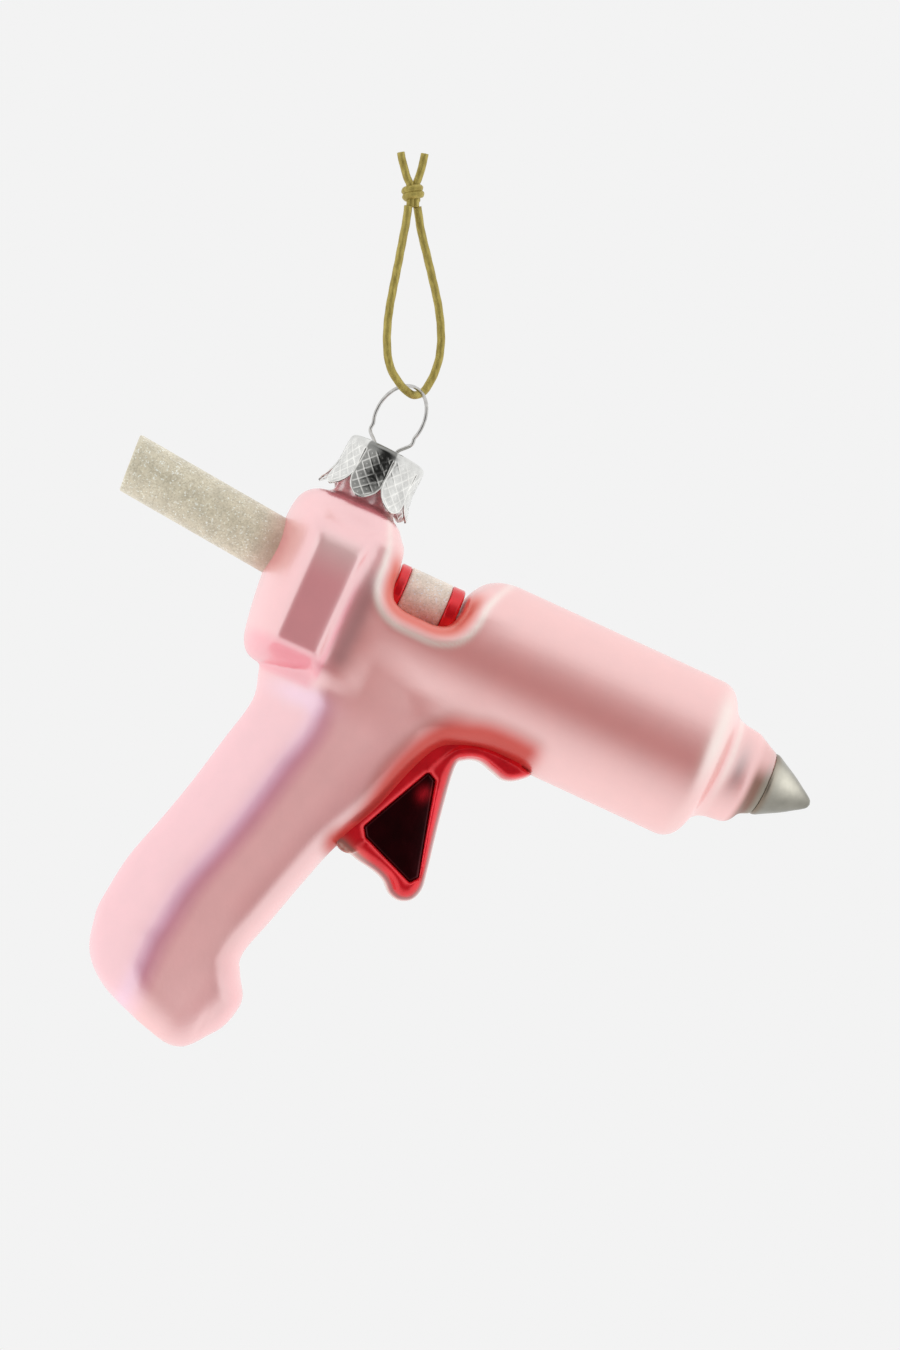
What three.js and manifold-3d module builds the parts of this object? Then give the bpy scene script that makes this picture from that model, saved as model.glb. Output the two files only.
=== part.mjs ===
// A blown-glass tree ornament in the shape of a small hot-glue gun, hung nose down by a gold cord.
// Millimetres, +Z up. The origin is at the inside top of the cord loop, just under its knot.
// The gun is built in its own frame, with +X along the barrel to the nose and +Z up the neck's axis,
// and is then tilted as it hangs. Both frames share Y, which points away from the side that faces us.
import * as THREE from "three";
import { mergeVertices } from "three/addons/utils/BufferGeometryUtils.js";
import Module from "manifold-3d";

// How it hangs
const hangTilt = 24.3; // degrees, nose down
const loopDrop = 29.65; // from the top of the cord loop to where the ring rests on the cord

// Clearance between pieces that are seated in each other
const gap = 0.3;

// Glass
const wall = 1.2; // thickness of the blown shell

// Barrel and nose
const barrelRadius = 13.5; // at the front
const barrelTaper = 0.3; // how much narrower it is at the neck
const barrelFront = 68.2; // the shoulder's front, measured from the neck's axis
const barrelTilt = 0.4; // degrees that it dips to the front
const shoulderRound = 3.5;
const noseLift = 0.6; // how far the cone's axis lies above the gun's
const collarRadius = 8.5;
const collarLength = 7.2; // from the shoulder's front to its own
const collarTaper = 0.9; // how much the collar narrows to its front
const collarRound = 2.0;
const collarSweep = 2.0; // radius of the hollow between the shoulder and the collar

// Silver nozzle tip
const tipRadius = 5.3;
const throatLength = 2.2; // how far it starts in front of the collar
const tipLength = 8.4;
const tipEdge = 0.9; // the rounded step at its rear
const tipEndRadius = 1.2;
const tipEndRound = 0.5;
const spigotRadius = 3.4;
const spigotLength = 4.6;

// Handle
const handleLength = 76.8; // from the barrel's axis down to the butt
const handleBand = 11.2; // width of the rounded band along its back, up to the crease
const bandPower = 0.68; // how the band swells: 0.5 is round, more is a sharper crease
const handleHalf = 10.6; // half the thickness at its top
const handleTaper = 1.1; // what the half thickness loses down to the butt
const rootSwell = 2.3; // what the half thickness gains where the handle runs into the barrel
const rootReach = 28; // how far down from the barrel's axis the swelling starts
const rootTop = 3; // and how far down it is full
const rootRear = 8; // how far forward from the neck's axis it starts to fade
const rootFront = 34; // and how far forward it has gone
const sideFall = 0.2; // share of the half thickness that its side loses from the crease to the front
const sideEnd = 31.9; // where the flat side would end at the barrel's axis
const sideEndSlope = 0.341; // and how far this moves back for each millimetre down
const sideStop = 1.3; // share of the way to that end where the side stops falling
const frontSoft = 4.2; // depth of the rounding along its front
const lipSoft = 5.5; // and along the butt's lip
const buttStart = 64; // where the butt starts to close
const buttFullness = 2.4; // 2 closes it in an ellipse, more in a blunter curve

// Rear block
const blockRear = -10.6;
const blockFront = 6.2;
const blockTop = 13.1;
const blockBottom = -15.2;
const blockHalf = 13.8; // half the thickness over the flat side panels
const panelRear = -4.9;
const panelFront = 2.0;
const panelTop = 3.0;
const panelBottom = -10.4;
const panelCorner = 1.2;
const blockCorner = 3.0;
const blockHeel = 2.1; // how far its rear edge comes forward at the bottom
const blockFullness = 1.48; // 1 swells it in an ellipse, more in a flatter bevel
const topFullness = 0.67; // the same over the panels, where it rounds over softly
const stepFront = 7.8; // the flat step along the block's front
const stepHalf = 12.3;
const stepTop = 8.6;
const stepBottom = -13.2;
const stepBevel = 1.2;

// Neck
const neckLength = 23.6; // from the barrel's axis up to the rim
const neckWall = 1.1;
const neckPlay = 0.7; // between the neck and the cap round it
const neckFlareRadius = 8.9;
const neckFlareBottom = 11.8;
const neckFlareTop = 14.3;

// Cap
const capRadius = 6.6;
const capTop = 24.4;
const capSheet = 0.35;
const capEdge = 0.5; // rounding of its top edge
const capSkirt = 9.5; // from the top to the petals' tips
const capFlare = 1.4; // how far the petals spread
const capLean = 3; // degrees that the cap sits askew, towards the nose
const capShift = 0.15; // and off the neck's axis
const petalCount = 8;
const petalSlit = 0.36;
const petalRoot = 1.9; // solid height above the slits
const petalPoint = 3.6; // height of a petal's rounded point

// Hanger wire
const wireRadius = 0.3;
const ringRadius = 5.45; // to the middle of the wire
const ringHeight = 5.7; // from the cap's top up to the ring's centre
const ringLean = 0.6; // the ring and its feet stand this far back, towards the plumb line
const ringYaw = 47; // degrees that the ring is turned in the neck
const ringOpen = 25; // degrees below its middle where the round part of the ring ends
const footSpacing = 4.85; // each foot's distance from the ring's centre line
const footHeight = 2.1; // the feet, above the cap's top
const legSpacing = 2.7; // each leg's distance from the ring's centre line at the cap
const legLength = 20.4; // from the cap's top down to the legs' ends

// Glue stick
const stickRadius = 4.75;
const stickWall = 1.3; // it is blown hollow, and open inside the casing
const stickEnd = -37.1; // the cut end behind the block
const stickEndHeight = 5.55;
const stickRootHeight = 3.0; // its axis where it enters the block
const stickSink = 4.4; // how deep it sits in the block
const cutSlant = 9; // degrees that the cut end is off square, its lower edge shorter
const seatWall = 1.4;

// Sight notch and what lies in it
const notchRear = 9.2;
const notchFront = 21.0;
const notchFloor = 1.5;
const notchCorner = 1.6; // the slope between its floor and each end wall
const notchBend = 8.8; // height where its end walls start to lean outwards
const notchLeanRear = 1.0; // how far the rear wall leans by the barrel's top
const notchLeanFront = 2.2;
const linerHalf = 6.0;
const linerSink = 2.6; // how far the liner goes down into the notch's floor
const linerEndRear = 1.7; // length of the red end behind the front stick
const linerEndFront = 2.2;
const sightStickRadius = 4.55;
const sightStickHeight = 4.45; // its axis

// Trigger
const triggerHalf = 5.0;
const triggerBevel = 0.9;
const triggerTongue = 2.4; // how deep it goes into the casing
const pocketDepth = 1.9;
const pocketBlunt = 1.1; // cut off each side at a corner
const panelThickness = 0.7;

// Cord
const cordRadius = 0.68;
const knotRadius = 1.9;
const knotFoot = 0.8; // the short neck under the knot, where the cord's ends go in
const tailLength = 4.6;

const roundSegments = 40;
const wireSides = 8;

// Places that follow from the sizes
const collarFront = barrelFront + collarLength;
const tipRear = collarFront + throatLength;
const tipFront = tipRear + tipLength;
const capBottom = capTop - capSkirt;
const neckRadius = capRadius - capSheet - neckPlay;
const neckBore = neckRadius - neckWall;
const ringCentre = capTop + ringHeight;
const contactHeight = ringCentre + ringRadius - wireRadius;
const stickTilt = Math.atan2(stickEndHeight - stickRootHeight, blockRear - stickEnd);
const tilt = THREE.MathUtils.degToRad(hangTilt);
const yaw = THREE.MathUtils.degToRad(ringYaw);

const wasm = await Module();
wasm.setup();

// A closed three.js geometry as a solid that can be cut and joined.
function solid(geometry) {
  const bare = new THREE.BufferGeometry();
  const flat = geometry.index ? geometry.toNonIndexed() : geometry;
  bare.setAttribute("position", flat.getAttribute("position"));
  const merged = mergeVertices(bare, 1e-4);
  return new wasm.Manifold(
    new wasm.Mesh({
      numProp: 3,
      vertProperties: merged.getAttribute("position").array,
      triVerts: new Uint32Array(merged.index.array),
    }),
  );
}

function mesh(name, shape, material) {
  const cut = shape.getMesh();
  const geometry = new THREE.BufferGeometry();
  geometry.setAttribute("position", new THREE.BufferAttribute(cut.vertProperties, 3));
  geometry.setIndex(new THREE.BufferAttribute(cut.triVerts, 1));
  const faceted = geometry.toNonIndexed();
  faceted.computeVertexNormals();
  const made = new THREE.Mesh(faceted, material);
  made.name = name;
  return made;
}

function finish(color, roughness, metalness) {
  return new THREE.MeshStandardMaterial({ color, roughness, metalness });
}

// A turned solid about the Z axis. Each row of the profile is [radius, height].
function turned(profile, segments = roundSegments) {
  const points = profile.map(([radius, height]) => new THREE.Vector2(radius, height));
  return new THREE.LatheGeometry(points, segments).rotateX(Math.PI / 2);
}

// The same, about the X axis. Each row of the profile is [radius, distance along X].
function turnedAlongX(profile, segments = roundSegments) {
  return turned(profile, segments).rotateY(Math.PI / 2);
}

// A plate with the given side outline, [x, z] points, centred on the gun's middle plane.
function plate(outline, half, bevel = 0) {
  const shape = new THREE.Shape(outline.map(([x, z]) => new THREE.Vector2(x, z)));
  const geometry = new THREE.ExtrudeGeometry(shape, {
    depth: 2 * (half - bevel),
    bevelEnabled: bevel > 0,
    bevelThickness: bevel,
    bevelSize: bevel,
    bevelOffset: -bevel,
    bevelSegments: 2,
  });
  return geometry.translate(0, 0, bevel - half).rotateX(Math.PI / 2);
}

// The points of a smooth line through a few chosen ones.
function smooth(points, steps) {
  return new THREE.SplineCurve(points.map(([x, z]) => new THREE.Vector2(x, z)))
    .getPoints(steps)
    .map((point) => [point.x, point.y]);
}

// A closed outline moved outwards by a distance; the outline runs anticlockwise.
function grown(outline, distance) {
  return outline.map(([x, z], index) => {
    const before = outline[(index + outline.length - 1) % outline.length];
    const after = outline[(index + 1) % outline.length];
    const one = new THREE.Vector2(z - before[1], before[0] - x).normalize();
    const two = new THREE.Vector2(after[1] - z, x - after[0]).normalize();
    const out = one.clone().add(two).normalize();
    const reach = distance / Math.max(out.dot(one), 0.5);
    return [x + out.x * reach, z + out.y * reach];
  });
}

// A skin through rings of equally many points, closed at both ends with a fan.
function loft(rings) {
  const count = rings[0].length;
  const points = rings.flat();
  const faces = [];
  for (let ring = 0; ring + 1 < rings.length; ring++) {
    for (let side = 0; side < count; side++) {
      const next = (side + 1) % count;
      const a = ring * count + side;
      const b = ring * count + next;
      faces.push(a, b, b + count, a, b + count, a + count);
    }
  }
  for (const end of [0, rings.length - 1]) {
    const middle = new THREE.Vector3();
    rings[end].forEach((point) => middle.addScaledVector(point, 1 / count));
    points.push(middle);
    for (let side = 0; side < count; side++) {
      const a = end * count + side;
      const b = end * count + ((side + 1) % count);
      const hub = points.length - 1;
      faces.push(...(end === 0 ? [b, a, hub] : [a, b, hub]));
    }
  }
  const geometry = new THREE.BufferGeometry().setFromPoints(points);
  geometry.setIndex(faces);
  return geometry;
}

// A round wire or cord along a list of points.
function wire(points, radius, steps) {
  const circle = new THREE.Shape();
  circle.absarc(0, 0, radius, 0, 2 * Math.PI, false);
  return new THREE.ExtrudeGeometry(circle, {
    steps,
    curveSegments: wireSides,
    bevelEnabled: false,
    extrudePath: new THREE.CatmullRomCurve3(points, false, "centripetal"),
  });
}

// The handle from the side: height, back edge and front edge, down to the butt's heel and lip.
const handleStations = [
  [6, -2.0, 30.0],
  [-6, -4.0, 33.5],
  [-12, -4.6, 31.6],
  [-16, -4.6, 27.3],
  [-21, -3.5, 24.8],
  [-29, -5.2, 22.2],
  [-37, -7.0, 18.4],
  [-44, -8.9, 16.1],
  [-52, -11.3, 13.8],
  [-58.9, -12.3, 11.8],
  [-62, -12.8, 12.8],
  [-65.5, -12.3, 15.0],
  [-68, -11.1, 15.3],
  [-70.5, -9.0, 14.1],
  [-73, -5.6, 12.0],
  [-75, -0.6, 10.5],
  [-76.3, 3.4, 9.0],
];
const drawnLength = 76.8; // the handle's length that the stations are written for

// Rises smoothly from 0 at the start to 1 at the end.
function ramp(value, start, end) {
  return THREE.MathUtils.smoothstep(value, start, end);
}

// One slice across the handle: a rounded band at the back, sides that fall a little and a soft front.
function handleSlice(height, back, front, inset) {
  const drop = Math.max(0, -height);
  const closing = Math.max(0, (drop - buttStart) / (drawnLength - buttStart));
  const thickness = handleHalf - (handleTaper * drop) / drawnLength;
  const half = thickness * Math.sqrt(1 - closing ** buttFullness) - inset;
  const width = front - back - 2 * inset;
  const band = Math.min(handleBand, width * 0.55);
  const soft = Math.min(drop > buttStart ? lipSoft : frontSoft, width * 0.3);
  const crease = back + inset + band;
  const top = handleStations[0][0];
  const swell = rootSwell * ramp(height, -rootReach, -rootTop) * (1 - ramp(height, -rootTop, top));
  const reach = (x) => {
    const sideLength = sideEnd - sideEndSlope * drop - crease;
    const across = THREE.MathUtils.clamp((x - crease) / sideLength, 0, sideStop);
    return (half + swell * (1 - ramp(x, rootRear, rootFront))) * (1 - sideFall * across ** 2);
  };
  const side = [];
  const bandSteps = 6;
  for (let step = 1; step <= bandSteps; step++) {
    const share = (step / bandSteps) ** 2;
    side.push([back + inset + band * share, reach(crease) * share ** bandPower]);
  }
  const flatEnd = front - inset - soft;
  for (const share of [0.33, 0.67]) {
    const x = THREE.MathUtils.lerp(crease, flatEnd, share);
    side.push([x, reach(x)]);
  }
  const frontSteps = 5;
  for (let step = 0; step < frontSteps; step++) {
    const angle = (Math.PI / 2) * (step / frontSteps);
    const x = flatEnd + soft * Math.sin(angle);
    side.push([x, reach(x) * Math.cos(angle)]);
  }
  const scale = handleLength / drawnLength;
  const ring = [[back + inset, 0], ...side, [front - inset, 0]];
  for (const [x, y] of side.reverse()) ring.push([x, -y]);
  return ring.map(([x, y]) => new THREE.Vector3(x, y, height < 0 ? height * scale : height));
}

function handleBody(inset) {
  const rows = handleStations.filter(([height]) => -height < drawnLength - inset * 2.2);
  return solid(loft(rows.map(([height, back, front]) => handleSlice(height, back, front, inset))));
}

// A rectangle with round corners in the side view, at one distance from the middle plane. Its rear edge
// comes forward by the heel towards the bottom.
function roundRectangle(rear, front, bottom, top, corner, heel, y) {
  const ring = [];
  const corners = [
    [rear + corner, bottom + corner, Math.PI],
    [front - corner, bottom + corner, 1.5 * Math.PI],
    [front - corner, top - corner, 0],
    [rear + corner, top - corner, 0.5 * Math.PI],
  ];
  for (const [x, z, start] of corners) {
    for (let step = 0; step <= 4; step++) {
      const angle = start + (Math.PI / 2) * (step / 4);
      const across = x + corner * Math.cos(angle);
      const height = z + corner * Math.sin(angle);
      const low = Math.max(0, height / bottom) ** 1.6 * ((front - across) / (front - rear));
      ring.push(new THREE.Vector3(across + heel * low, y, height));
    }
  }
  return ring;
}

// The rear block swells from its flat side panels to its full outline at the middle plane.
function blockBody(inset) {
  const rings = [];
  const steps = 6;
  for (let step = -steps; step <= steps; step++) {
    const turn = (Math.PI / 2) * (step / steps);
    const swell = Math.max(Math.cos(turn), 0) ** blockFullness;
    const topSwell = Math.max(Math.cos(turn), 0) ** topFullness;
    const lerp = (panel, full) => THREE.MathUtils.lerp(panel, full, swell);
    rings.push(
      roundRectangle(
        lerp(panelRear, blockRear) + inset,
        lerp(panelFront, blockFront) - inset,
        lerp(panelBottom, blockBottom) + inset,
        THREE.MathUtils.lerp(panelTop, blockTop, topSwell) - inset,
        Math.max(lerp(panelCorner, blockCorner) - inset, gap),
        lerp(0, blockHeel),
        (blockHalf - inset) * Math.sin(turn),
      ),
    );
  }
  return solid(loft(rings.reverse()));
}

// The flat step between the block and the barrel. The block covers its rear half.
function sideStep() {
  const outline = [
    [panelRear, stepBottom],
    [blockFront, stepBottom],
    [stepFront, stepBottom + stepBevel],
    [stepFront, stepTop - stepBevel],
    [blockFront, stepTop],
    [panelRear, stepTop],
  ];
  return solid(plate(outline, stepHalf, stepBevel));
}

function barrelBody(inset) {
  const radius = barrelRadius - inset;
  const front = barrelFront - inset;
  const round = Math.max(shoulderRound - inset, 0.5);
  const profile = [[0, inset]];
  profile.push([radius - barrelTaper, inset]);
  for (let step = 0; step <= 4; step++) {
    const angle = (Math.PI / 2) * (step / 4);
    profile.push([radius - round * (1 - Math.cos(angle)), front - round * (1 - Math.sin(angle))]);
  }
  profile.push([0, front]);
  return solid(turnedAlongX(profile)).rotate([0, barrelTilt, 0]);
}

// The stepped nose: a short collar that sweeps out into the shoulder, its rounded lip, and the start of
// the cone.
function noseBody() {
  const lip = collarRadius - collarTaper;
  const collar = [
    [0, barrelFront - 2 * shoulderRound],
    [collarRadius + collarSweep, barrelFront - 2 * shoulderRound],
  ];
  for (let step = 0; step <= 3; step++) {
    const angle = (Math.PI / 2) * (step / 3);
    const out = collarSweep * (1 - Math.sin(angle));
    collar.push([collarRadius + out, barrelFront + collarSweep * (1 - Math.cos(angle))]);
  }
  collar.push([lip, collarFront - collarRound]);
  collar.push([lip - 0.4 * collarRound, collarFront - 0.3 * collarRound]);
  collar.push([lip - collarRound, collarFront]);
  collar.push([0, collarFront]);
  const cone = [
    [0, barrelFront],
    [lip - collarRound, barrelFront],
    [lip - collarRound, collarFront],
    [tipRadius, tipRear - gap],
    [0, tipRear - gap],
  ];
  return solid(turnedAlongX(collar)).add(solid(turnedAlongX(cone)).translate([0, 0, noseLift]));
}

function neckBody() {
  const flareRise = neckFlareTop - neckFlareBottom;
  return solid(
    turned([
      [0, 0],
      [neckFlareRadius, 0],
      [neckFlareRadius, neckFlareBottom],
      [THREE.MathUtils.lerp(neckRadius, neckFlareRadius, 0.88), neckFlareBottom + 0.45 * flareRise],
      [THREE.MathUtils.lerp(neckRadius, neckFlareRadius, 0.55), neckFlareBottom + 0.8 * flareRise],
      [THREE.MathUtils.lerp(neckRadius, neckFlareRadius, 0.15), neckFlareTop],
      [neckRadius, neckFlareTop + 0.5 * flareRise],
      [neckRadius, neckLength],
      [0, neckLength],
    ]),
  );
}

// A round bar along X, from one place to another.
function barAlongX(radius, from, to) {
  return solid(
    turnedAlongX([
      [0, from],
      [radius, from],
      [radius, to],
      [0, to],
    ]),
  );
}

// A round bar on the rear stick's slanted axis, measured along it from the block's rear face. Its outer
// end is cut off at a slant, in degrees.
function barOnStick(radius, outside, inside, slant = 0) {
  const bar = barAlongX(radius, -outside - radius, inside);
  const block = solid(new THREE.BoxGeometry(6 * radius, 4 * radius, 4 * radius));
  const cutter = block.translate([-3 * radius, 0, 0]).rotate([0, -slant, 0]).translate([-outside, 0, 0]);
  const turn = THREE.MathUtils.radToDeg(stickTilt);
  return bar.subtract(cutter).rotate([0, turn, 0]).translate([blockRear, 0, stickRootHeight]);
}

// The notch's side view, from its floor up past the barrel's top.
function notchCut(growth) {
  const top = barrelRadius + 8;
  const rise = (top - notchBend) / (barrelRadius - notchBend);
  const outline = [
    [notchRear, notchFloor + notchCorner],
    [notchRear + notchCorner, notchFloor],
    [notchFront - notchCorner, notchFloor],
    [notchFront, notchFloor + notchCorner],
    [notchFront, notchBend],
    [notchFront + notchLeanFront * rise, top],
    [notchRear - notchLeanRear * rise, top],
    [notchRear, notchBend],
  ];
  return solid(plate(grown(outline, growth), barrelRadius + 3));
}

// The block of the liner that lies in the notch's floor, or, grown, the well that takes it.
function linerBlock(growth, rise = 0) {
  const rear = notchRear + gap - growth;
  const front = notchFront - gap + growth;
  const height = linerSink + growth + rise;
  const box = new THREE.BoxGeometry(front - rear, 2 * (linerHalf + growth), height);
  return solid(box.translate((front + rear) / 2, 0, notchFloor + rise - height / 2));
}

// The trigger from the side: the arch under the casing, the arm, the front edge, the lobe and the foot.
function triggerOutline() {
  const arch = smooth(
    [
      [18.6, -36.4],
      [20.9, -32.8],
      [24.8, -21.0],
      [27.3, -16.0],
      [29.6, -13.5],
      [32.6, -12.3],
      [36.6, -12.1],
      [40.1, -12.4],
    ],
    18,
  );
  const arm = smooth(
    [
      [42.4, -13.6],
      [40.4, -15.7],
      [38.4, -16.4],
      [36.3, -15.9],
      [33.7, -15.3],
      [31.5, -16.1],
      [30.7, -17.9],
    ],
    12,
  );
  const front = smooth(
    [
      [30.7, -17.9],
      [32.0, -26.7],
      [33.5, -34.6],
      [33.9, -37.7],
      [33.1, -39.9],
      [31.2, -40.9],
      [29.2, -40.5],
      [27.5, -39.0],
      [25.4, -38.2],
      [22.2, -37.6],
      [18.6, -36.4],
    ],
    22,
  );
  return { arch, below: [...arm, ...front.slice(1, -1)] };
}

// The trigger's whole outline, anticlockwise, with its tongue behind the arch.
function triggerBlank() {
  const { arch, below } = triggerOutline();
  const last = arch.length - 1;
  const tongue = arch.map(([x, z], index) => {
    const before = arch[Math.max(index - 1, 0)];
    const after = arch[Math.min(index + 1, last)];
    const out = new THREE.Vector2(before[1] - after[1], after[0] - before[0]).normalize();
    const reach = triggerTongue * Math.sin((Math.PI * (index + 0.6)) / (last + 1.2)) ** 0.4;
    return [x + out.x * reach, z + out.y * reach];
  });
  return [...below, ...tongue].reverse();
}

const pocketCorners = [
  [27.5, -19.6],
  [20.9, -33.0],
  [32.2, -37.2],
];

// A triangle with blunt corners, inside the trigger's rim.
function pocketOutline(growth) {
  const outline = [];
  pocketCorners.forEach(([x, z], index) => {
    const before = pocketCorners[(index + 2) % 3];
    const after = pocketCorners[(index + 1) % 3];
    for (const [otherX, otherZ] of [before, after]) {
      const length = Math.hypot(otherX - x, otherZ - z);
      const cut = pocketBlunt / length;
      outline.push([x + (otherX - x) * cut, z + (otherZ - z) * cut]);
    }
  });
  return grown(outline, growth);
}

function trigger() {
  const pocket = plate(pocketOutline(0), pocketDepth);
  let body = solid(plate(triggerBlank(), triggerHalf, triggerBevel));
  for (const side of [-1, 1]) body = body.subtract(solid(pocket).translate([0, side * triggerHalf, 0]));
  return mesh("trigger", body, finish(0xc8202c, 0.08, 0.7));
}

function triggerPanel(name, side) {
  const body = solid(plate(pocketOutline(-gap), panelThickness / 2));
  const place = triggerHalf - pocketDepth + gap + panelThickness / 2;
  return mesh(name, body.translate([0, side * place, 0]), finish(0x2a0408, 0.05, 0.8));
}

function noseTip() {
  const profile = [
    [0, tipRear - spigotLength],
    [spigotRadius, tipRear - spigotLength],
    [spigotRadius, tipRear],
    [tipRadius, tipRear],
    [tipRadius - 0.55 * tipEdge, tipRear + tipEdge],
    [tipEndRadius + tipEndRound, tipFront - 2.8 * tipEndRound],
    [tipEndRadius, tipFront - tipEndRound],
    [tipEndRadius * 0.5, tipFront - 0.2 * tipEndRound],
    [0, tipFront],
  ];
  const body = solid(turnedAlongX(profile)).translate([0, 0, noseLift]);
  return mesh("nozzle_tip", body, finish(0xb9b5a6, 0.32, 0.85));
}

// The blown shell: outside forms joined, the inside hollowed, then the seats, the notch and the slot.
function casing() {
  const outside = barrelBody(0)
    .add(noseBody())
    .add(handleBody(0))
    .add(blockBody(0))
    .add(sideStep())
    .add(neckBody());
  const bore = solid(
    turned([
      [0, 0],
      [neckBore, 0],
      [neckBore, neckLength + 1],
      [0, neckLength + 1],
    ]),
  );
  const collarHollow = barAlongX(collarRadius - 2 * wall, barrelFront - 2 * wall, barrelFront + wall)
    .translate([0, 0, noseLift]);
  const seats = barOnStick(stickRadius + gap + seatWall, 0, stickSink + gap + seatWall)
    .add(solid(plate(grown(triggerBlank(), gap + wall), triggerHalf + gap + wall)));
  const hollow = barrelBody(wall)
    .add(handleBody(wall))
    .add(blockBody(wall))
    .add(collarHollow)
    .subtract(notchCut(wall))
    .subtract(linerBlock(gap + wall))
    .subtract(seats)
    .add(bore);
  const spigotSocket = barAlongX(spigotRadius + gap, tipRear - spigotLength - gap, tipRear + 1)
    .translate([0, 0, noseLift]);
  const body = outside
    .subtract(hollow)
    .subtract(notchCut(0))
    .subtract(linerBlock(gap, notchCorner))
    .subtract(barOnStick(stickRadius + gap, 4, stickSink + gap))
    .subtract(spigotSocket)
    .subtract(solid(plate(grown(triggerBlank(), gap), triggerHalf + gap)));
  return mesh("casing", body, finish(0xe9bdbd, 0.35, 0.35));
}

function rearStick() {
  const length = (blockRear - stickEnd) / Math.cos(stickTilt);
  const body = barOnStick(stickRadius, length, stickSink, cutSlant)
    .subtract(barOnStick(stickRadius - stickWall, length - stickWall, stickSink + 1, cutSlant));
  return mesh("glue_stick_rear", body, finish(0xd6cfb4, 0.6, 0.1));
}

// The front stick lies between the liner's two red ends, in the trough that they share.
function sightStick() {
  const rear = notchRear + gap + linerEndRear + gap;
  const front = notchFront - gap - linerEndFront - gap;
  const body = barAlongX(sightStickRadius, rear, front).translate([0, 0, sightStickHeight]);
  return mesh("glue_stick_front", body, finish(0xd9d0c2, 0.6, 0.1));
}

function notchLiner() {
  const rear = notchRear + gap;
  const front = notchFront - gap;
  const ends = barAlongX(sightStickRadius, rear, front).translate([0, 0, sightStickHeight]);
  const trough = barAlongX(sightStickRadius + gap, rear + linerEndRear, front - linerEndFront);
  const body = ends.add(linerBlock(0)).subtract(trough.translate([0, 0, sightStickHeight]));
  return mesh("notch_liner", body, finish(0xb01c24, 0.12, 0.7));
}

// The spring wire's holes are turned with its ring.
function legPlace(side, distance) {
  return [side * distance * Math.cos(yaw), -side * distance * Math.sin(yaw)];
}

function cap() {
  const flared = capRadius + capFlare;
  const inside = capTop - capSheet;
  const waist = capTop - capSkirt * 0.45;
  const shell = solid(
    turned(
      [
        [0, inside],
        [capRadius - capSheet, inside],
        [capRadius - capSheet, waist],
        [flared - capSheet, capBottom],
        [flared, capBottom],
        [capRadius, waist],
        [capRadius, capTop - capEdge],
        [capRadius - 0.8 * capEdge, capTop],
        [0, capTop],
      ],
      6 * petalCount,
    ),
  );
  const reach = capFlare + 1;
  const pitch = (Math.PI * (capRadius + reach)) / petalCount;
  const half = petalSlit / 2;
  const slitSide = [
    [half, capTop - petalRoot],
    [half, capBottom + petalPoint],
    [half + 0.16 * pitch, capBottom + petalPoint * 0.6],
    [half + 0.42 * pitch, capBottom + petalPoint * 0.32],
    [half + 0.72 * pitch, capBottom + petalPoint * 0.12],
    [pitch, capBottom],
    [pitch, capBottom - 1],
  ];
  const outline = [...slitSide.map(([x, z]) => [-x, z]), ...slitSide.slice().reverse()];
  const slit = solid(plate(outline, reach)).translate([0, capRadius, 0]);
  let body = shell;
  for (let petal = 0; petal < petalCount; petal++) {
    body = body.subtract(slit.rotate([0, 0, (360 * petal) / petalCount]));
  }
  const hole = barAlongX(wireRadius + gap, -1, 1).rotate([0, 90, 0]);
  for (const side of [-1, 1]) {
    const [x, y] = legPlace(side, legSpacing);
    body = body.subtract(hole.translate([x - ringLean - capShift, y, capTop]));
  }
  const made = mesh("cap", body.translate([0, 0, -capTop]), finish(0xd8d8d8, 0.15, 1));
  made.position.set(capShift, 0, capTop);
  made.rotation.y = THREE.MathUtils.degToRad(capLean);
  return made;
}

// One leg from its end in the neck up to the foot of the ring. It stands back with the ring at the cap,
// and not in the neck.
function legPoints(side) {
  const spread = neckBore - gap - wireRadius;
  const rows = [
    [spread, capTop - legLength, 0],
    [spread, capTop - legLength * 0.7, 0],
    [THREE.MathUtils.lerp(legSpacing, spread, 0.6), capTop - legLength * 0.42, 0.6],
    [legSpacing + 0.1, capTop - legLength * 0.2, 1],
    [legSpacing, capTop - 1.2, 1],
    [legSpacing, capTop + 0.4, 1],
    [footSpacing, capTop + footHeight, 1],
  ];
  return rows.map(([distance, height, back]) => {
    const [x, y] = legPlace(side, distance);
    return new THREE.Vector3(x - back * ringLean, y, height);
  });
}

function hangerWire() {
  const ring = [];
  const open = THREE.MathUtils.degToRad(ringOpen);
  const steps = 12;
  for (let step = 0; step <= steps; step++) {
    const angle = Math.PI + open - ((Math.PI + 2 * open) * step) / steps;
    const [x, y] = legPlace(1, ringRadius * Math.cos(angle));
    ring.push(new THREE.Vector3(x - ringLean, y, ringCentre + ringRadius * Math.sin(angle)));
  }
  const path = [...legPoints(-1), ...ring, ...legPoints(1).reverse()];
  return mesh("hanger_wire", solid(wire(path, wireRadius, 78)), finish(0xc9c9cb, 0.25, 1));
}

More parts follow.
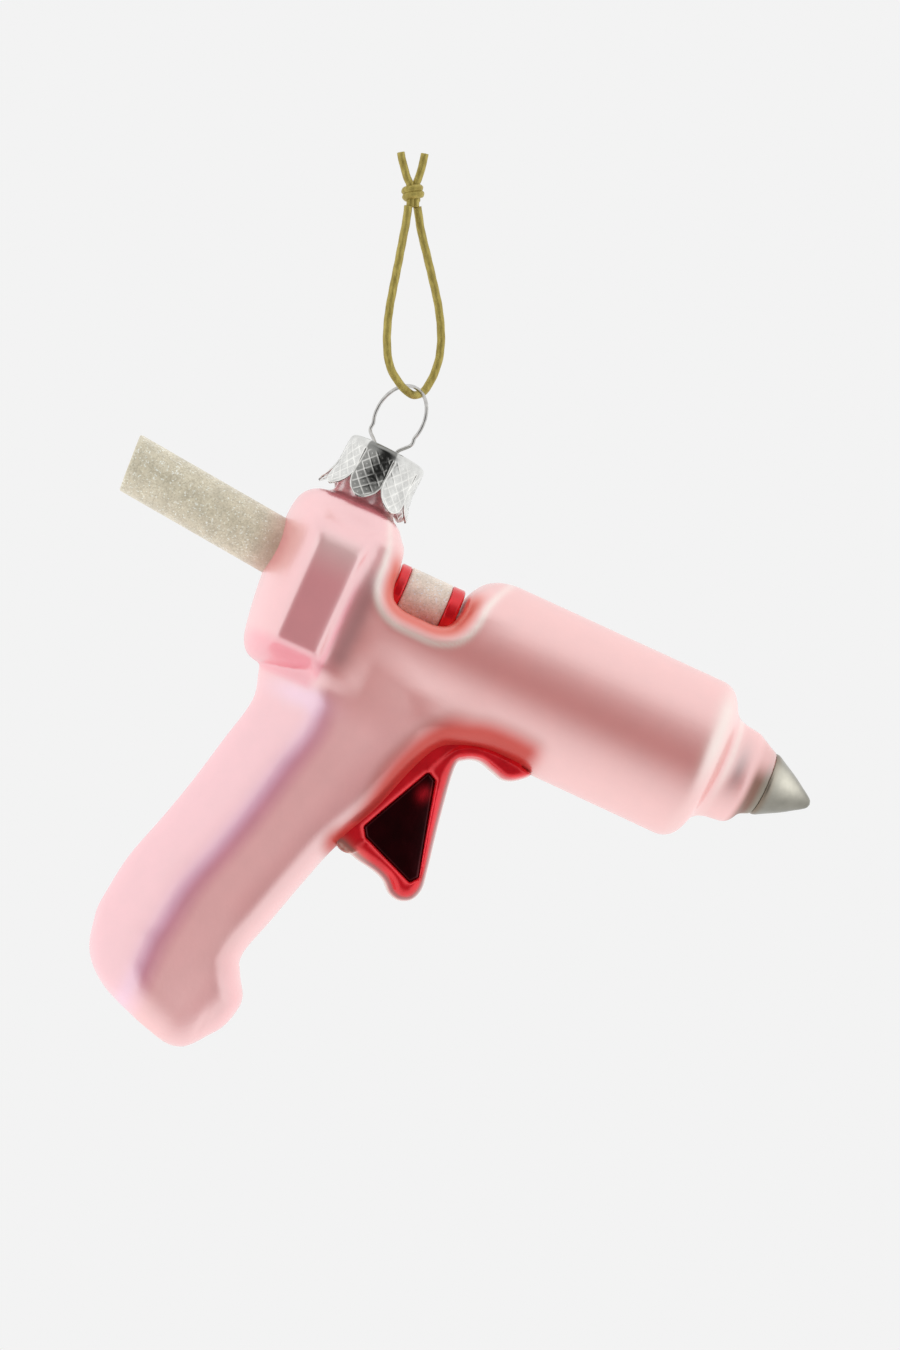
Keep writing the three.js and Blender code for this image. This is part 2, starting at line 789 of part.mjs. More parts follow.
// The cord's route from the knot, down its near strand, through the ring and up its far strand.
const cordRoute = [
  [-0.8, -0.55, -0.3],
  [-1.05, -0.75, -2.4],
  [-1.8, -1.25, -6.2],
  [-2.6, -1.8, -10.2],
  [-3.4, -2.4, -14.0],
  [-4.0, -2.8, -17.2],
  [-4.35, -3.05, -20.4],
  [-4.35, -3.05, -23.6],
  [-3.9, -2.75, -26.2],
  [-2.75, -1.9, -28.3],
  [-1.35, -0.95, -29.85],
  [0.1, 0.05, -30.7],
  [1.6, 1.1, -30.2],
  [2.7, 1.9, -28.9],
  [3.7, 2.6, -27.0],
  [4.5, 3.15, -24.6],
  [4.85, 3.4, -21.8],
  [4.75, 3.3, -18.8],
  [4.3, 3.0, -15.6],
  [3.4, 2.4, -11.8],
  [2.4, 1.7, -7.9],
  [1.4, 1.0, -4.0],
  [0.8, 0.55, -0.3],
];

function hangingCord() {
  const points = cordRoute.map(([x, y, z]) => new THREE.Vector3(x, y, z));
  return mesh("hanging_cord", solid(wire(points, cordRadius, 42)), finish(0xb39b3c, 0.4, 0.8));
}

function cordKnot() {
  const profile = [];
  for (let step = 0; step <= 10; step++) {
    const angle = -Math.PI / 2 + (Math.PI * step) / 10;
    profile.push([knotRadius * Math.cos(angle), knotRadius * (1 + Math.sin(angle))]);
  }
  profile[0][0] = 0;
  profile[10][0] = 0;
  let body = solid(turned(profile, 16));
  const foot = new THREE.CylinderGeometry(knotRadius, knotRadius, knotFoot, 16).rotateX(Math.PI / 2);
  body = body.add(solid(foot).translate([0, 0, knotFoot / 2]));
  for (const side of [-1, 1]) {
    const tail = [
      new THREE.Vector3(side * 0.3, side * 0.2, 2 * knotRadius - 1.2),
      new THREE.Vector3(side * 0.9, side * 0.5, 2 * knotRadius + 0.4),
      new THREE.Vector3(side * 1.7, side * 0.8, 2 * knotRadius + tailLength - 1.6),
      new THREE.Vector3(side * 2.0, side * 0.8, 2 * knotRadius + tailLength),
    ];
    body = body.add(solid(wire(tail, cordRadius, 6)));
  }
  return mesh("cord_knot", body, finish(0xb39b3c, 0.4, 0.8));
}

const gun = new THREE.Group();
gun.add(
  casing(),
  rearStick(),
  sightStick(),
  notchLiner(),
  trigger(),
  triggerPanel("trigger_panel_near", -1),
  triggerPanel("trigger_panel_far", 1),
  noseTip(),
  cap(),
  hangerWire(),
);
gun.rotation.y = tilt;
const contact = new THREE.Vector3(-ringLean, 0, contactHeight).applyEuler(gun.rotation);
gun.position.set(-contact.x, 0, -loopDrop - contact.z);

const ornament = new THREE.Group();
ornament.add(gun, hangingCord(), cordKnot());

export default ornament;
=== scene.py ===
# A blown-glass tree ornament in the shape of a small hot-glue gun, hung nose down by a gold cord.
# Sizes are in millimetres. The gun is modelled in its own frame, with +X along the barrel and +Z up the
# neck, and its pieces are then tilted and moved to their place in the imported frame.
import math

import bpy
import numpy as np
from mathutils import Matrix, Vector


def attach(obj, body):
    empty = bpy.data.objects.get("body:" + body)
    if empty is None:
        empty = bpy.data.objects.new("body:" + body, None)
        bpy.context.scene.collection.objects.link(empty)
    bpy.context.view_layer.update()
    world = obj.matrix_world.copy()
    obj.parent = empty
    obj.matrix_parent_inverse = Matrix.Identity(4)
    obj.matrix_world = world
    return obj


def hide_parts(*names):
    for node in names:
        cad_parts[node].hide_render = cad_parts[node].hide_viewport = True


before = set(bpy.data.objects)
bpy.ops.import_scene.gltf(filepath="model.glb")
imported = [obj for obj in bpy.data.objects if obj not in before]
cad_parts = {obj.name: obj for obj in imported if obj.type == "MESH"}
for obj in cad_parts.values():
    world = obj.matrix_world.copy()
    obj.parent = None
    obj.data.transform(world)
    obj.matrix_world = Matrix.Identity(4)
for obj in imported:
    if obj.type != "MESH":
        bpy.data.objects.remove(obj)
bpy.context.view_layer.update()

# How it hangs
HANG_TILT = math.radians(24.3)
GUN_X = -13.959  # where the gun frame's origin is
GUN_Z = -62.024

# Barrel and nose
BARREL_RADIUS = 13.5
BARREL_TAPER = 0.3
BARREL_FRONT = 68.2
BARREL_TILT = math.radians(0.4)
SHOULDER_ROUND = 3.5
NOSE_ROOT = 55.0  # where collar and throat start in the barrel
NOSE_LIFT = 0.6
COLLAR_RADIUS = 8.5
COLLAR_FRONT = 75.4
COLLAR_TAPER = 0.9
COLLAR_ROUND = 2.0
COLLAR_SWEEP = 3.4
THROAT_EXTRA = 0.7  # how much wider the throat starts than the collar's flat end
THROAT_ROUND = 0.3
THROAT_SWEEP = 0.9
TIP_RADIUS = 5.3
TIP_REAR = 77.6
TIP_FRONT = 86.0
TIP_SIDE = [(6.5, 4.55), (4.0, 3.2), (2.2, 2.05), (1.1, 1.35), (0.3, 0.72)]  # distance back, radius

# Handle
HANDLE_HALF = 10.6
HANDLE_TAPER = 1.1
HANDLE_LENGTH = 76.8
HANDLE_TOP = 5.0
HANDLE_BAND = 11.2
BAND_POWER = 0.68  # how the band along the back swells to its crease
KEEL_ROUND = 0.32  # rounds the band's middle, as a share of its half thickness
CREASE_SOFT = 1.0
SIDE_END = 31.9  # where the flat side ends at the barrel's axis, and its change with height
SIDE_END_SLOPE = 0.341
SIDE_FALL = 0.22  # share of its half thickness lost from the crease to the front
SIDE_LIMIT = 1.3
ROOT_SWELL = 2.3  # how much thicker the handle gets at the barrel
ROOT_RISE = (-28, -3)  # heights between which it does so
ROOT_FADE = (8, 34)  # and where this fades out along X
FRONT_SOFT = 4.2
BUTT_SOFT = 6.5
BUTT_FILLET = 3.0
BARREL_FILLET = 1.2
ARCH_FILLET = 4.0
ARCH_FADE = (4, 14)  # how deep in from the front the second turns into the first

# Rear block
BLOCK_REAR = -10.6
BLOCK_FRONT = 6.2
BLOCK_TOP = 13.1
BLOCK_BOTTOM = -15.2
BLOCK_HALF = 13.8
BLOCK_HEEL = 2.1  # how far forward its rear is at its bottom
HEEL_POWER = 1.6
BLOCK_FILLET = 0.9
PANEL_REAR = -4.6
PANEL_FRONT = 2.0
PANEL_BOTTOM = -10.4
PANEL_SOFT = 0.15  # rounds the panel's edges, as a share of the bevel's width
PANEL_EDGE = 0.4
SOFT_TOP = 3.0  # where it starts to round over to its top
TOP_POWER = 2.2  # how late most of that rounding comes
CORNER_POWER = 3  # how square its corners are
BEVEL_POWER = 1.35  # how its bevels bend
SIDE_POWER = 1.9
SWELL_POWER = 1.7
SWELL_DEPTH = 4.5
STEP_REAR = 2.5  # the flat step between the block and the barrel
STEP_FRONT = 5.6
STEP_FADE = 11.5
STEP_HALF = 12.7
STEP_LEAN = 1.6  # how much thinner it gets upwards
STEP_DROP = 0.8  # and downwards

# Neck and cap
NECK_TOP = 22.6
NECK_RADIUS = 5.4
NECK_WALL = 1.1
NECK_EDGE = 0.4
NECK_FLARE = 8.9
NECK_FLARE_TOP = 14.3
FLARE_ROUND = 2.6
FLARE_FILLET = 1.4
NECK_FILLET = 2.8
CAP_RADIUS = 6.6
CAP_TOP = 24.4
CAP_SKIRT = 9.1
CAP_FLARE = 1.4
CAP_SHEET = 0.3
CAP_LEAN = math.radians(3)
CAP_SHIFT = 0.15
CAP_EDGE = 0.9  # rounding of its top edge
CAP_WAIST = 4.3  # from the top down to where it starts to flare
CAP_TURN = math.radians(10)
PETAL_COUNT = 8
PETAL_ROOT = 1.5  # solid height above the slits
PETAL_BEND = 0.25  # how far the tips are bent in or out
PETAL_OUTLINE = [(0, 0.02), (0.1, 0.6), (0.3, 1.1), (0.8, 1.8), (1.6, 2.4), (2.6, 2.75), (3.6, 2.8),
                 (5.5, 2.62), (8, 2.5)]  # height above the tip, half width
# this petal's colour is also painted dark, a painted reflection of that dark zone
DARK_PETAL_SIDE = -0.55 * math.pi  # direction of the petal that mirrors the room's dark zone
LATTICE_PITCH = 1.9
LATTICE_WIDTH = 0.11
RIM_PLACE = 0.16  # the raised line along each petal's edge
RIM_WIDTH = 0.12
RELIEF = 0.06

# Wire and cord
WIRE_RADIUS = 0.3
RING_RADIUS = 5.45
RING_HEIGHT = 5.7
RING_LEAN = 0.6
RING_YAW = math.radians(47)
RING_OPEN = math.radians(25)
FOOT_SPACING = 4.85
FOOT_HEIGHT = 2.1
LEG_SPACING = 2.7
LEG_LENGTH = 20.4
CORD_RADIUS = 0.68
PLY_COUNT = 5
PLY_DEPTH = 0.06  # as a share of the radius
PLY_TWIST = 2.2  # radians per millimetre
KNOT_TURNS = 2.2
KNOT_RADIUS = 1.12
KNOT_SWELL = 0.12
KNOT_BOTTOM = 0.85
KNOT_HEIGHT = 2.1

# Glue stick, and the notch on top that shows it
STICK_RADIUS = 4.75
STICK_END = -37.1
STICK_END_HEIGHT = 5.55
STICK_ROOT_HEIGHT = 3.0
STICK_SINK = 4.4
STICK_TILT = math.atan2(STICK_END_HEIGHT - STICK_ROOT_HEIGHT, BLOCK_REAR - STICK_END)
CUT_SLANT = math.radians(9)
CUT_POWER = 6  # how near its end the slant starts
NOTCH_REAR = 9.2
NOTCH_FRONT = 21.0
NOTCH_FLOOR = 1.5
NOTCH_ROUND = 4.2
SIGHT_RADIUS = 4.55
SIGHT_HEIGHT = 4.45
SIGHT_REAR = 11.5
SIGHT_FRONT = 18.2
SIGHT_SINK = 0.25  # how deep the short stick's ends sit in the liner
LINER_HALF = 6.0
LINER_SINK = 2.6
SEAT_GAP = 0.3

# Trigger
TRIGGER_HALF = 5.0
ROLL_TOP = 1.3  # width of its rolled edge, and what it gains downwards
ROLL_GAIN = 1.0
POCKET_DEPTH = 1.9
POCKET_ROUND = 0.4
PANEL_PLACE = 3.75  # the dark panels' middle, from the gun's middle plane
PANEL_HALF = 0.36
PANEL_BULGE = 0.12
TONGUE = 2.2

# Meshed surfaces: the spacing of their points, and a box around each
BODY_STEP = 0.5
BODY_BOX = [(-15, -15, -79), (80, 15, 25)]
TRIGGER_STEP = 0.3
TRIGGER_BOX = [(15, -5.6, -42.5), (44, 5.6, -8)]
LINER_STEP = 0.25
LINER_BOX = [(8.7, -6.6, -1.8), (21.6, 6.6, 9.6)]
PANEL_STEP = 0.2
PANEL_BOX = [(20, -1.0, -38.5), (33.5, 1.0, -19)]

# Picture
CAMERA_AZIMUTH = math.radians(-5)
CAMERA_DISTANCE = 0.7
CAMERA_AIM = Vector((0.00602, 0, -0.0758))
SENSOR_HEIGHT = 24
PICTURE_HEIGHT = 0.2177  # metres at the aim point
BACKGROUND = 0.896
ROOM_LIGHT = 1.13  # brightness of the soft room
DARK_FRONT = 0.06  # and of its dark zone, at the camera's side
DARK_BACK = 0.95  # and at the back
DARK_SIDE = (0.08, 0.7)  # where the zone fades out sideways, in a unit direction's parts
DARK_TOP = (0.45, 0.9)
DARK_BOTTOM = (-1.2, -0.1)
DARK_DEPTH = (-0.3, 0.3)


# Places and small helpers


def tilted(points, angle, along, up):
    """Points tilted about the Y axis, +Z towards +X, then moved along X and Z."""
    x, y, z = np.asarray(points, float).T
    turned_x = x * math.cos(angle) + z * math.sin(angle) + along
    turned_z = z * math.cos(angle) - x * math.sin(angle) + up
    return np.stack([turned_x, y, turned_z], 1)


def gun_to_world(points):
    """Gun-frame millimetres to the row's metres."""
    return tilted(points, HANG_TILT, GUN_X, GUN_Z) / 1000


def make_object(name, points, faces, material, body):
    """A smooth mesh in metres, which rides on a body of the part."""
    mesh = bpy.data.meshes.new(name)
    mesh.from_pydata([tuple(p) for p in points], [], [tuple(int(i) for i in f) for f in faces])
    mesh.update()
    mesh.polygons.foreach_set("use_smooth", [True] * len(mesh.polygons))
    made = bpy.data.objects.new(name, mesh)
    bpy.context.scene.collection.objects.link(made)
    made.data.materials.append(material)
    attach(made, body)
    return made


def glass_piece(name, points, faces, material):
    """A piece of the glass body, from points in the gun frame."""
    return make_object(name, gun_to_world(points), faces, material, "glass")


def add_attribute(piece, name, values):
    """Gives each point a value that the material reads."""
    layer = piece.data.attributes.new(name, "FLOAT", "POINT")
    layer.data.foreach_set("value", np.asarray(values, np.float32))


def smooth_line(points, steps):
    """Points of a Catmull-Rom line through the given ones, steps to each span."""
    p = np.asarray(points, float)
    p = np.vstack([2 * p[0] - p[1], p, 2 * p[-1] - p[-2]])
    rows = []
    for i in range(1, len(p) - 2):
        for t in np.arange(steps) / steps:
            a = 2 * p[i]
            b = p[i + 1] - p[i - 1]
            c = 2 * p[i - 1] - 5 * p[i] + 4 * p[i + 1] - p[i + 2]
            d = 3 * p[i] - p[i - 1] - 3 * p[i + 1] + p[i + 2]
            rows.append(0.5 * (a + b * t + c * t * t + d * t**3))
    rows.append(p[-2])
    return np.array(rows)


def grid_faces(rows, columns, closed=True, first=0):
    """Faces of a grid of points. A closed one joins its last column to its first."""
    faces = []
    for i in range(rows - 1):
        near = first + i * columns
        far = near + columns
        for j in range(columns if closed else columns - 1):
            k = (j + 1) % columns
            faces.append((near + j, far + j, far + k, near + k))
    return faces


def tube(path, radius, sides, ribs=0, rib_depth=0.0, twist=0.0):
    """A round tube along a path, closed at both ends. Ribs may wind round it."""
    path = np.asarray(path, float)
    tangent = np.gradient(path, axis=0)
    tangent /= np.linalg.norm(tangent, axis=1)[:, None]
    length = np.concatenate([[0], np.cumsum(np.linalg.norm(np.diff(path, axis=0), axis=1))])
    side = np.cross(tangent[0], [0.3, 1.0, 0.2])
    side /= np.linalg.norm(side)
    angles = np.arange(sides) * math.tau / sides
    points = []
    for i, centre in enumerate(path):
        side = side - tangent[i] * (side @ tangent[i])
        side /= np.linalg.norm(side)
        other = np.cross(tangent[i], side)
        reach = radius * (1 - rib_depth * (0.5 - 0.5 * np.cos(ribs * angles + twist * length[i])))
        ring = centre + reach[:, None] * (np.cos(angles)[:, None] * side + np.sin(angles)[:, None] * other)
        points.append(ring)
    points = np.vstack(points + [path[:1], path[-1:]])
    faces = [(a, d, c, b) for a, b, c, d in grid_faces(len(path), sides)]
    first = len(points) - 2
    last = (len(path) - 1) * sides
    for j in range(sides):
        k = (j + 1) % sides
        faces.append((k, j, first))
        faces.append((last + j, last + k, first + 1))
    return points, faces


def cord_piece(name, path, radius, sides, material):
    """A piece of cord along a path in millimetres."""
    points, faces = tube(path, radius, sides, ribs=PLY_COUNT, rib_depth=PLY_DEPTH, twist=PLY_TWIST)
    return make_object(name, points / 1000, faces, material, "cord")


def lathe(profile, sides):
    """A turned surface about the X axis, from rows of [distance along X, radius]."""
    angles = np.arange(sides) * math.tau / sides
    points = []
    for along, radius in profile:
        points.append(np.stack([np.full(sides, along), radius * np.cos(angles), radius * np.sin(angles)], 1))
    return np.vstack(points), grid_faces(len(profile), sides)


def rise(value, start, end):
    """Rises smoothly from 0 at the start to 1 at the end."""
    t = np.clip((value - start) / (end - start), 0, 1)
    return t * t * (3 - 2 * t)


def fall(value, start, end):
    """Falls smoothly from 1 at the start to 0 at the end."""
    return 1 - rise(value, start, end)


def between(value, rising, falling):
    """1 between two limits, with a smooth edge at each."""
    return rise(value, *rising) * fall(value, *falling)


def spot(value, middle, width):
    """A soft bump of height 1."""
    return np.exp(-(((value - middle) / width) ** 2))


# Distance fields, in the gun frame


def join(a, b, softness):
    """The union of two solids, with a fillet."""
    blend = np.clip(0.5 + 0.5 * (b - a) / softness, 0, 1)
    return b * (1 - blend) + a * blend - softness * blend * (1 - blend)


def both(a, b, softness):
    """What two solids share, with a rounded edge."""
    return -join(-a, -b, softness)


def cut(a, b, softness):
    """The first solid without the second, with a rounded edge."""
    return both(a, -b, softness)


def line_distance(x, z, line):
    """Distance to a line of points in the side view."""
    best = np.full(np.broadcast(x, z).shape, np.inf)
    for (ax, az), (bx, bz) in zip(line[:-1], line[1:]):
        dx = bx - ax
        dz = bz - az
        t = np.clip(((x - ax) * dx + (z - az) * dz) / (dx * dx + dz * dz), 0, 1)
        best = np.minimum(best, np.hypot(x - ax - t * dx, z - az - t * dz))
    return best


def outline_distance(x, z, outline):
    """Signed distance to a closed outline in the side view, negative inside."""
    closed = np.vstack([outline, outline[:1]])
    inside = np.zeros(np.broadcast(x, z).shape, bool)
    for (ax, az), (bx, bz) in zip(closed[:-1], closed[1:]):
        if az == bz:
            continue
        crosses = (az > z) != (bz > z)
        inside ^= crosses & (x < (bx - ax) * (z - az) / (bz - az) + ax)
    distance = line_distance(x, z, closed)
    return np.where(inside, -distance, distance)


def rounded_bar(along, radius, start, end, size, corner):
    """A bar turned about the X axis, from start to end, with rounded edges."""
    x = np.abs(along - (start + end) / 2) - (end - start) / 2 + corner
    r = radius - size + corner
    return np.minimum(np.maximum(x, r), 0) + np.hypot(np.maximum(x, 0), np.maximum(r, 0)) - corner


HANDLE_BACK = smooth_line(
    [(20, -1.0), (6, -2.0), (-6, -4.0), (-12, -4.6), (-16, -4.6), (-21, -3.5), (-29, -5.2), (-37, -7.0),
     (-44, -8.9), (-52, -11.3), (-58.9, -12.3), (-62, -12.8), (-65, -12.8), (-80, -12.8)], 6)
HANDLE_FRONT = smooth_line(
    [(20, 28), (6, 30), (-6, 33.5), (-12, 31.6), (-16, 27.3), (-21, 24.8), (-29, 22.2), (-37, 18.4),
     (-44, 16.1), (-52, 13.8), (-58.9, 11.8), (-62, 12.8), (-65.5, 15.0), (-68, 15.5), (-80, 15.5)], 6)
BUTT_EDGE = smooth_line(
    [(-16, -58), (-12.8, -64.5), (-11.4, -67.6), (-9.0, -70.6), (-5.6, -73.0), (-0.5, -75.0), (3.4, -76.2),
     (6.6, -76.9), (9.0, -76.4), (10.6, -75.0), (12.3, -72.8), (14.1, -70.5), (15.4, -67.6), (18, -60)], 6)


def edge_depth(value, across, edge):
    """How far in from an edge a point is. The edge's rows give one coordinate by the other."""
    order = np.argsort(edge[:, 0])
    at = edge[order, 0]
    place = edge[order, 1]
    slope = np.interp(value, at, np.gradient(place, at))
    return (across - np.interp(value, at, place)) / np.sqrt(1 + slope**2)


def front_depth(x, z):
    """How far behind the handle's front edge a point is."""
    return -edge_depth(z, x, HANDLE_FRONT)


def crease_place(z):
    """Where the handle's rounded band meets its flat side."""
    return np.interp(z, HANDLE_BACK[::-1, 0], HANDLE_BACK[::-1, 1]) + HANDLE_BAND


def side_share(x, z):
    """How far across the handle's flat side a point is: 0 at its crease, 1 at its front."""
    crease = crease_place(z)
    return (x - crease) / (SIDE_END + SIDE_END_SLOPE * z - crease)


def rolled(depth, y, soft, half):
    """A plate's surface that rolls over towards its edge in a quarter of an ellipse."""
    tiny = 1e-6
    edge = np.maximum(1 - depth / soft, 0)
    roll = np.hypot(edge, y / half)
    slope = np.hypot(edge / soft, y / half**2)
    return (roll - 1) * (roll + tiny * half) / (slope + tiny)


def handle_half(x, z):
    """Half the handle's thickness, which grows towards the barrel."""
    half = HANDLE_HALF - HANDLE_TAPER * np.clip(-z / HANDLE_LENGTH, 0, 1)
    return half + ROOT_SWELL * rise(z, *ROOT_RISE) * fall(x, *ROOT_FADE)


def handle_distance(x, y, z):
    """A rounded band along the back, flat sides, and a rolled front and butt."""
    half = handle_half(x, z)
    aside = (y / half) ** 2 + KEEL_ROUND**2
    needed = HANDLE_BAND * (aside ** (0.5 / BAND_POWER) - KEEL_ROUND ** (1 / BAND_POWER))
    steep = HANDLE_BAND / BAND_POWER * y / half**2 * aside ** (0.5 / BAND_POWER - 1)
    rounded_back = (needed - edge_depth(z, x, HANDLE_BACK)) / np.sqrt(1 + steep**2)
    side = half * (1 - SIDE_FALL * np.clip(side_share(x, z), 0, SIDE_LIMIT))
    sides = both(rounded_back, rolled(front_depth(x, z), y, FRONT_SOFT, side), CREASE_SOFT)
    body = both(sides, rolled(edge_depth(x, z, BUTT_EDGE), y, BUTT_SOFT, half), BUTT_FILLET)
    return both(body, z - HANDLE_TOP, 2)


def eased(reach):
    """Rises from 0 to a straight slope, with a soft start."""
    return (reach + np.hypot(reach, PANEL_SOFT)) / 2


def block_distance(x, y, z):
    """The rear block, which swells from its outline to the flat panel on its side."""
    rear = BLOCK_REAR + BLOCK_HEEL * np.clip(z / BLOCK_BOTTOM, 0, 1.2) ** HEEL_POWER
    behind = eased((PANEL_REAR - x) / (PANEL_REAR - rear))
    ahead = eased((x - PANEL_FRONT) / (BLOCK_FRONT - PANEL_FRONT))
    above = np.maximum((z - SOFT_TOP) / (BLOCK_TOP - SOFT_TOP), 0) ** TOP_POWER
    below = eased((PANEL_BOTTOM - z) / (PANEL_BOTTOM - BLOCK_BOTTOM))
    out = ((behind + ahead) ** CORNER_POWER + (above + below) ** CORNER_POWER) ** (1 / CORNER_POWER)
    swell = (out**BEVEL_POWER + (y / BLOCK_HALF) ** SIDE_POWER) ** (1 / SWELL_POWER) - 1
    return both(swell * SWELL_DEPTH, y - BLOCK_HALF, PANEL_EDGE)


def beside_block(body, x, y, z):
    """Flattens the body into a step along the front of the block."""
    half = STEP_HALF - STEP_LEAN * rise(z, 1, 11) - STEP_DROP * rise(-z, 0, 12)
    share = fall(x, STEP_FRONT, STEP_FADE) * between(z, (BLOCK_BOTTOM, -11.5), (9, 13))
    return body + share * (np.maximum(y - half, STEP_REAR - x) - body)


def barrel_distance(x, y, z):
    """The barrel, a little tilted, and a little thinner at its rear."""
    along = x * math.cos(BARREL_TILT) - z * math.sin(BARREL_TILT)
    up = z * math.cos(BARREL_TILT) + x * math.sin(BARREL_TILT)
    size = BARREL_RADIUS - BARREL_TAPER * np.clip(1 - along / BARREL_FRONT, 0, 1)
    return rounded_bar(along, np.hypot(y, up), 0, BARREL_FRONT, size, SHOULDER_ROUND)


def nose_distance(x, y, z):
    """The collar, and the throat that narrows from it to the tip."""
    size = COLLAR_RADIUS - COLLAR_TAPER * np.clip((x - BARREL_FRONT) / (COLLAR_FRONT - BARREL_FRONT), 0, 1)
    collar = rounded_bar(x, np.hypot(y, z), NOSE_ROOT, COLLAR_FRONT, size, COLLAR_ROUND)
    wide = COLLAR_RADIUS - COLLAR_TAPER - COLLAR_ROUND + THROAT_EXTRA
    cone = wide + (TIP_RADIUS - wide) * (x - COLLAR_FRONT) / (TIP_REAR - COLLAR_FRONT)
    lifted = np.hypot(y, z - NOSE_LIFT)
    throat = rounded_bar(x, lifted, NOSE_ROOT, TIP_REAR, np.minimum(cone, wide), THROAT_ROUND)
    return join(collar, throat, THROAT_SWEEP)


def neck_distance(x, y, z):
    """The neck on its wide foot."""
    radius = np.hypot(x, y)
    foot = rounded_bar(z, radius, -2, NECK_FLARE_TOP, NECK_FLARE, FLARE_ROUND)
    pipe = rounded_bar(z, radius, 0, NECK_TOP, NECK_RADIUS, NECK_EDGE)
    return join(foot, pipe, FLARE_FILLET)


NOTCH_OUTLINE = smooth_line([
    (NOTCH_REAR, 7.0), (NOTCH_REAR + 0.1, 4.6), (NOTCH_REAR + 0.9, 2.6), (NOTCH_REAR + 2.8, 1.65),
    (15.2, NOTCH_FLOOR), (NOTCH_FRONT - 3.0, 1.6), (NOTCH_FRONT - 0.9, 2.7), (NOTCH_FRONT, 5.0),
    (NOTCH_FRONT + 0.3, 8.0), (NOTCH_FRONT + 1.6, 11.5), (NOTCH_FRONT + 4.6, 18.5),
    (15, 22), (NOTCH_REAR - 2.4, 18.5), (NOTCH_REAR - 0.7, 11.5), (NOTCH_REAR, 7.0)], 4)[:-1]


def glass_distance(x, y, z):
    """The pink glass body."""
    fillet = BARREL_FILLET + (ARCH_FILLET - BARREL_FILLET) * fall(front_depth(x, z), *ARCH_FADE)
    body = join(barrel_distance(x, y, z), handle_distance(x, y, z), fillet)
    body = beside_block(body, x, y, z)
    body = join(body, block_distance(x, y, z), BLOCK_FILLET)
    body = join(body, neck_distance(x, y, z), NECK_FILLET)
    body = join(body, nose_distance(x, y, z), COLLAR_SWEEP)
    return cut(body, outline_distance(x, z, NOTCH_OUTLINE), NOTCH_ROUND)


# Meshing of distance fields


def cell_points(values):
    """A point in each grid cell that the zero level crosses, and the cells' numbers."""
    size = np.array(values.shape) - 1
    total = np.zeros((3, *size))
    hits = np.zeros(size, int)

    def corner(i, j, k):
        return values[i:i + size[0], j:j + size[1], k:k + size[2]]

    for axis, a, b in np.ndindex(3, 2, 2):
        near = [a, b]
        near.insert(axis, 0)
        far = [a, b]
        far.insert(axis, 1)
        one = corner(*near)
        two = corner(*far)
        crossing = (one < 0) != (two < 0)
        share = np.where(crossing, one / np.where(crossing, one - two, 1), 0)
        for n in range(3):
            total[n] += np.where(crossing, near[n] + (share if n == axis else 0), 0)
        hits += crossing
    cells = hits > 0
    number = np.full(size, -1)
    number[cells] = np.arange(cells.sum())
    return np.argwhere(cells) + (total[:, cells] / hits[cells]).T, number


def cell_faces(values, number):
    """A face for each grid edge that the zero level crosses, between its four cells' points."""
    faces = []
    for axis in range(3):
        others = [(axis + 1) % 3, (axis + 2) % 3]
        near = [slice(1, -1)] * 3
        near[axis] = slice(0, -1)
        far = list(near)
        far[axis] = slice(1, None)
        one = values[tuple(near)] < 0
        two = values[tuple(far)] < 0
        for sign in (True, False):
            found = np.argwhere((one == sign) & (two != sign))
            found[:, others] += 1
            quad = []
            for a, b in ((1, 1), (0, 1), (0, 0), (1, 0)):
                cell = found.copy()
                cell[:, others] -= (a, b)
                quad.append(number[tuple(cell.T)])
            quad = np.stack(quad, 1)
            faces.append(quad if sign else quad[:, ::-1])
    return np.vstack(faces)


def settled(points, distance, step):
    """The points, moved down the slope onto the zero level."""
    probe = 0.02
    longest = 0.4 * step

    def at(places):
        x, y, z = places.T
        return distance(x, np.abs(y), z)

    for _ in range(5):
        slope = [at(points + shift) - at(points - shift) for shift in probe * np.eye(3)]
        slope = np.stack(slope, 1) / (2 * probe)
        move = slope * (at(points) / np.maximum((slope**2).sum(1), 1e-3))[:, None]
        too_long = np.maximum(np.linalg.norm(move, axis=1) / longest, 1)
        points = points - move / too_long[:, None]
    return points


def zero_surface(distance, box, step):
    """Meshes the zero level of a distance function, asked for one side only."""
    low, high = np.asarray(box, float)
    count = np.ceil((high - low) / step).astype(int) + 1
    half = count[1] // 2
    x = (low[0] + step * np.arange(count[0]))[:, None, None]
    y = (step * np.arange(half + 1))[None, :, None]
    z = (low[2] + step * np.arange(count[2]))[None, None, :]
    values = np.broadcast_to(distance(x, y, z), (count[0], half + 1, count[2]))
    values = np.concatenate([values[:, :0:-1], values], axis=1)
    places, number = cell_points(values)
    start = np.array([low[0], -step * half, low[2]])
    return settled(start + step * places, distance, step), cell_faces(values, number)


# Materials


def new_material(name, settings):
    """A material, its node tree and its shader, whose sockets get the settings."""
    made = bpy.data.materials.new(name)
    made.use_nodes = True
    shader = made.node_tree.nodes["Principled BSDF"]
    for socket, value in settings.items():
        shader.inputs[socket].default_value = value
    return made, made.node_tree, shader


def add_node(tree, kind, **values):
    node = tree.nodes.new(kind)
    for name, value in values.items():
        setattr(node, name, value)
    return node


def blended(tree, first, second, share):
    """A colour between two. The first may come from another node."""
    mix = add_node(tree, "ShaderNodeMix", data_type="RGBA")
    tree.links.new(share, mix.inputs["Factor"])
    if isinstance(first, tuple):
        mix.inputs[6].default_value = (*first, 1)
    else:
        tree.links.new(first, mix.inputs[6])
    mix.inputs[7].default_value = (*second, 1)
    return mix.outputs[2]


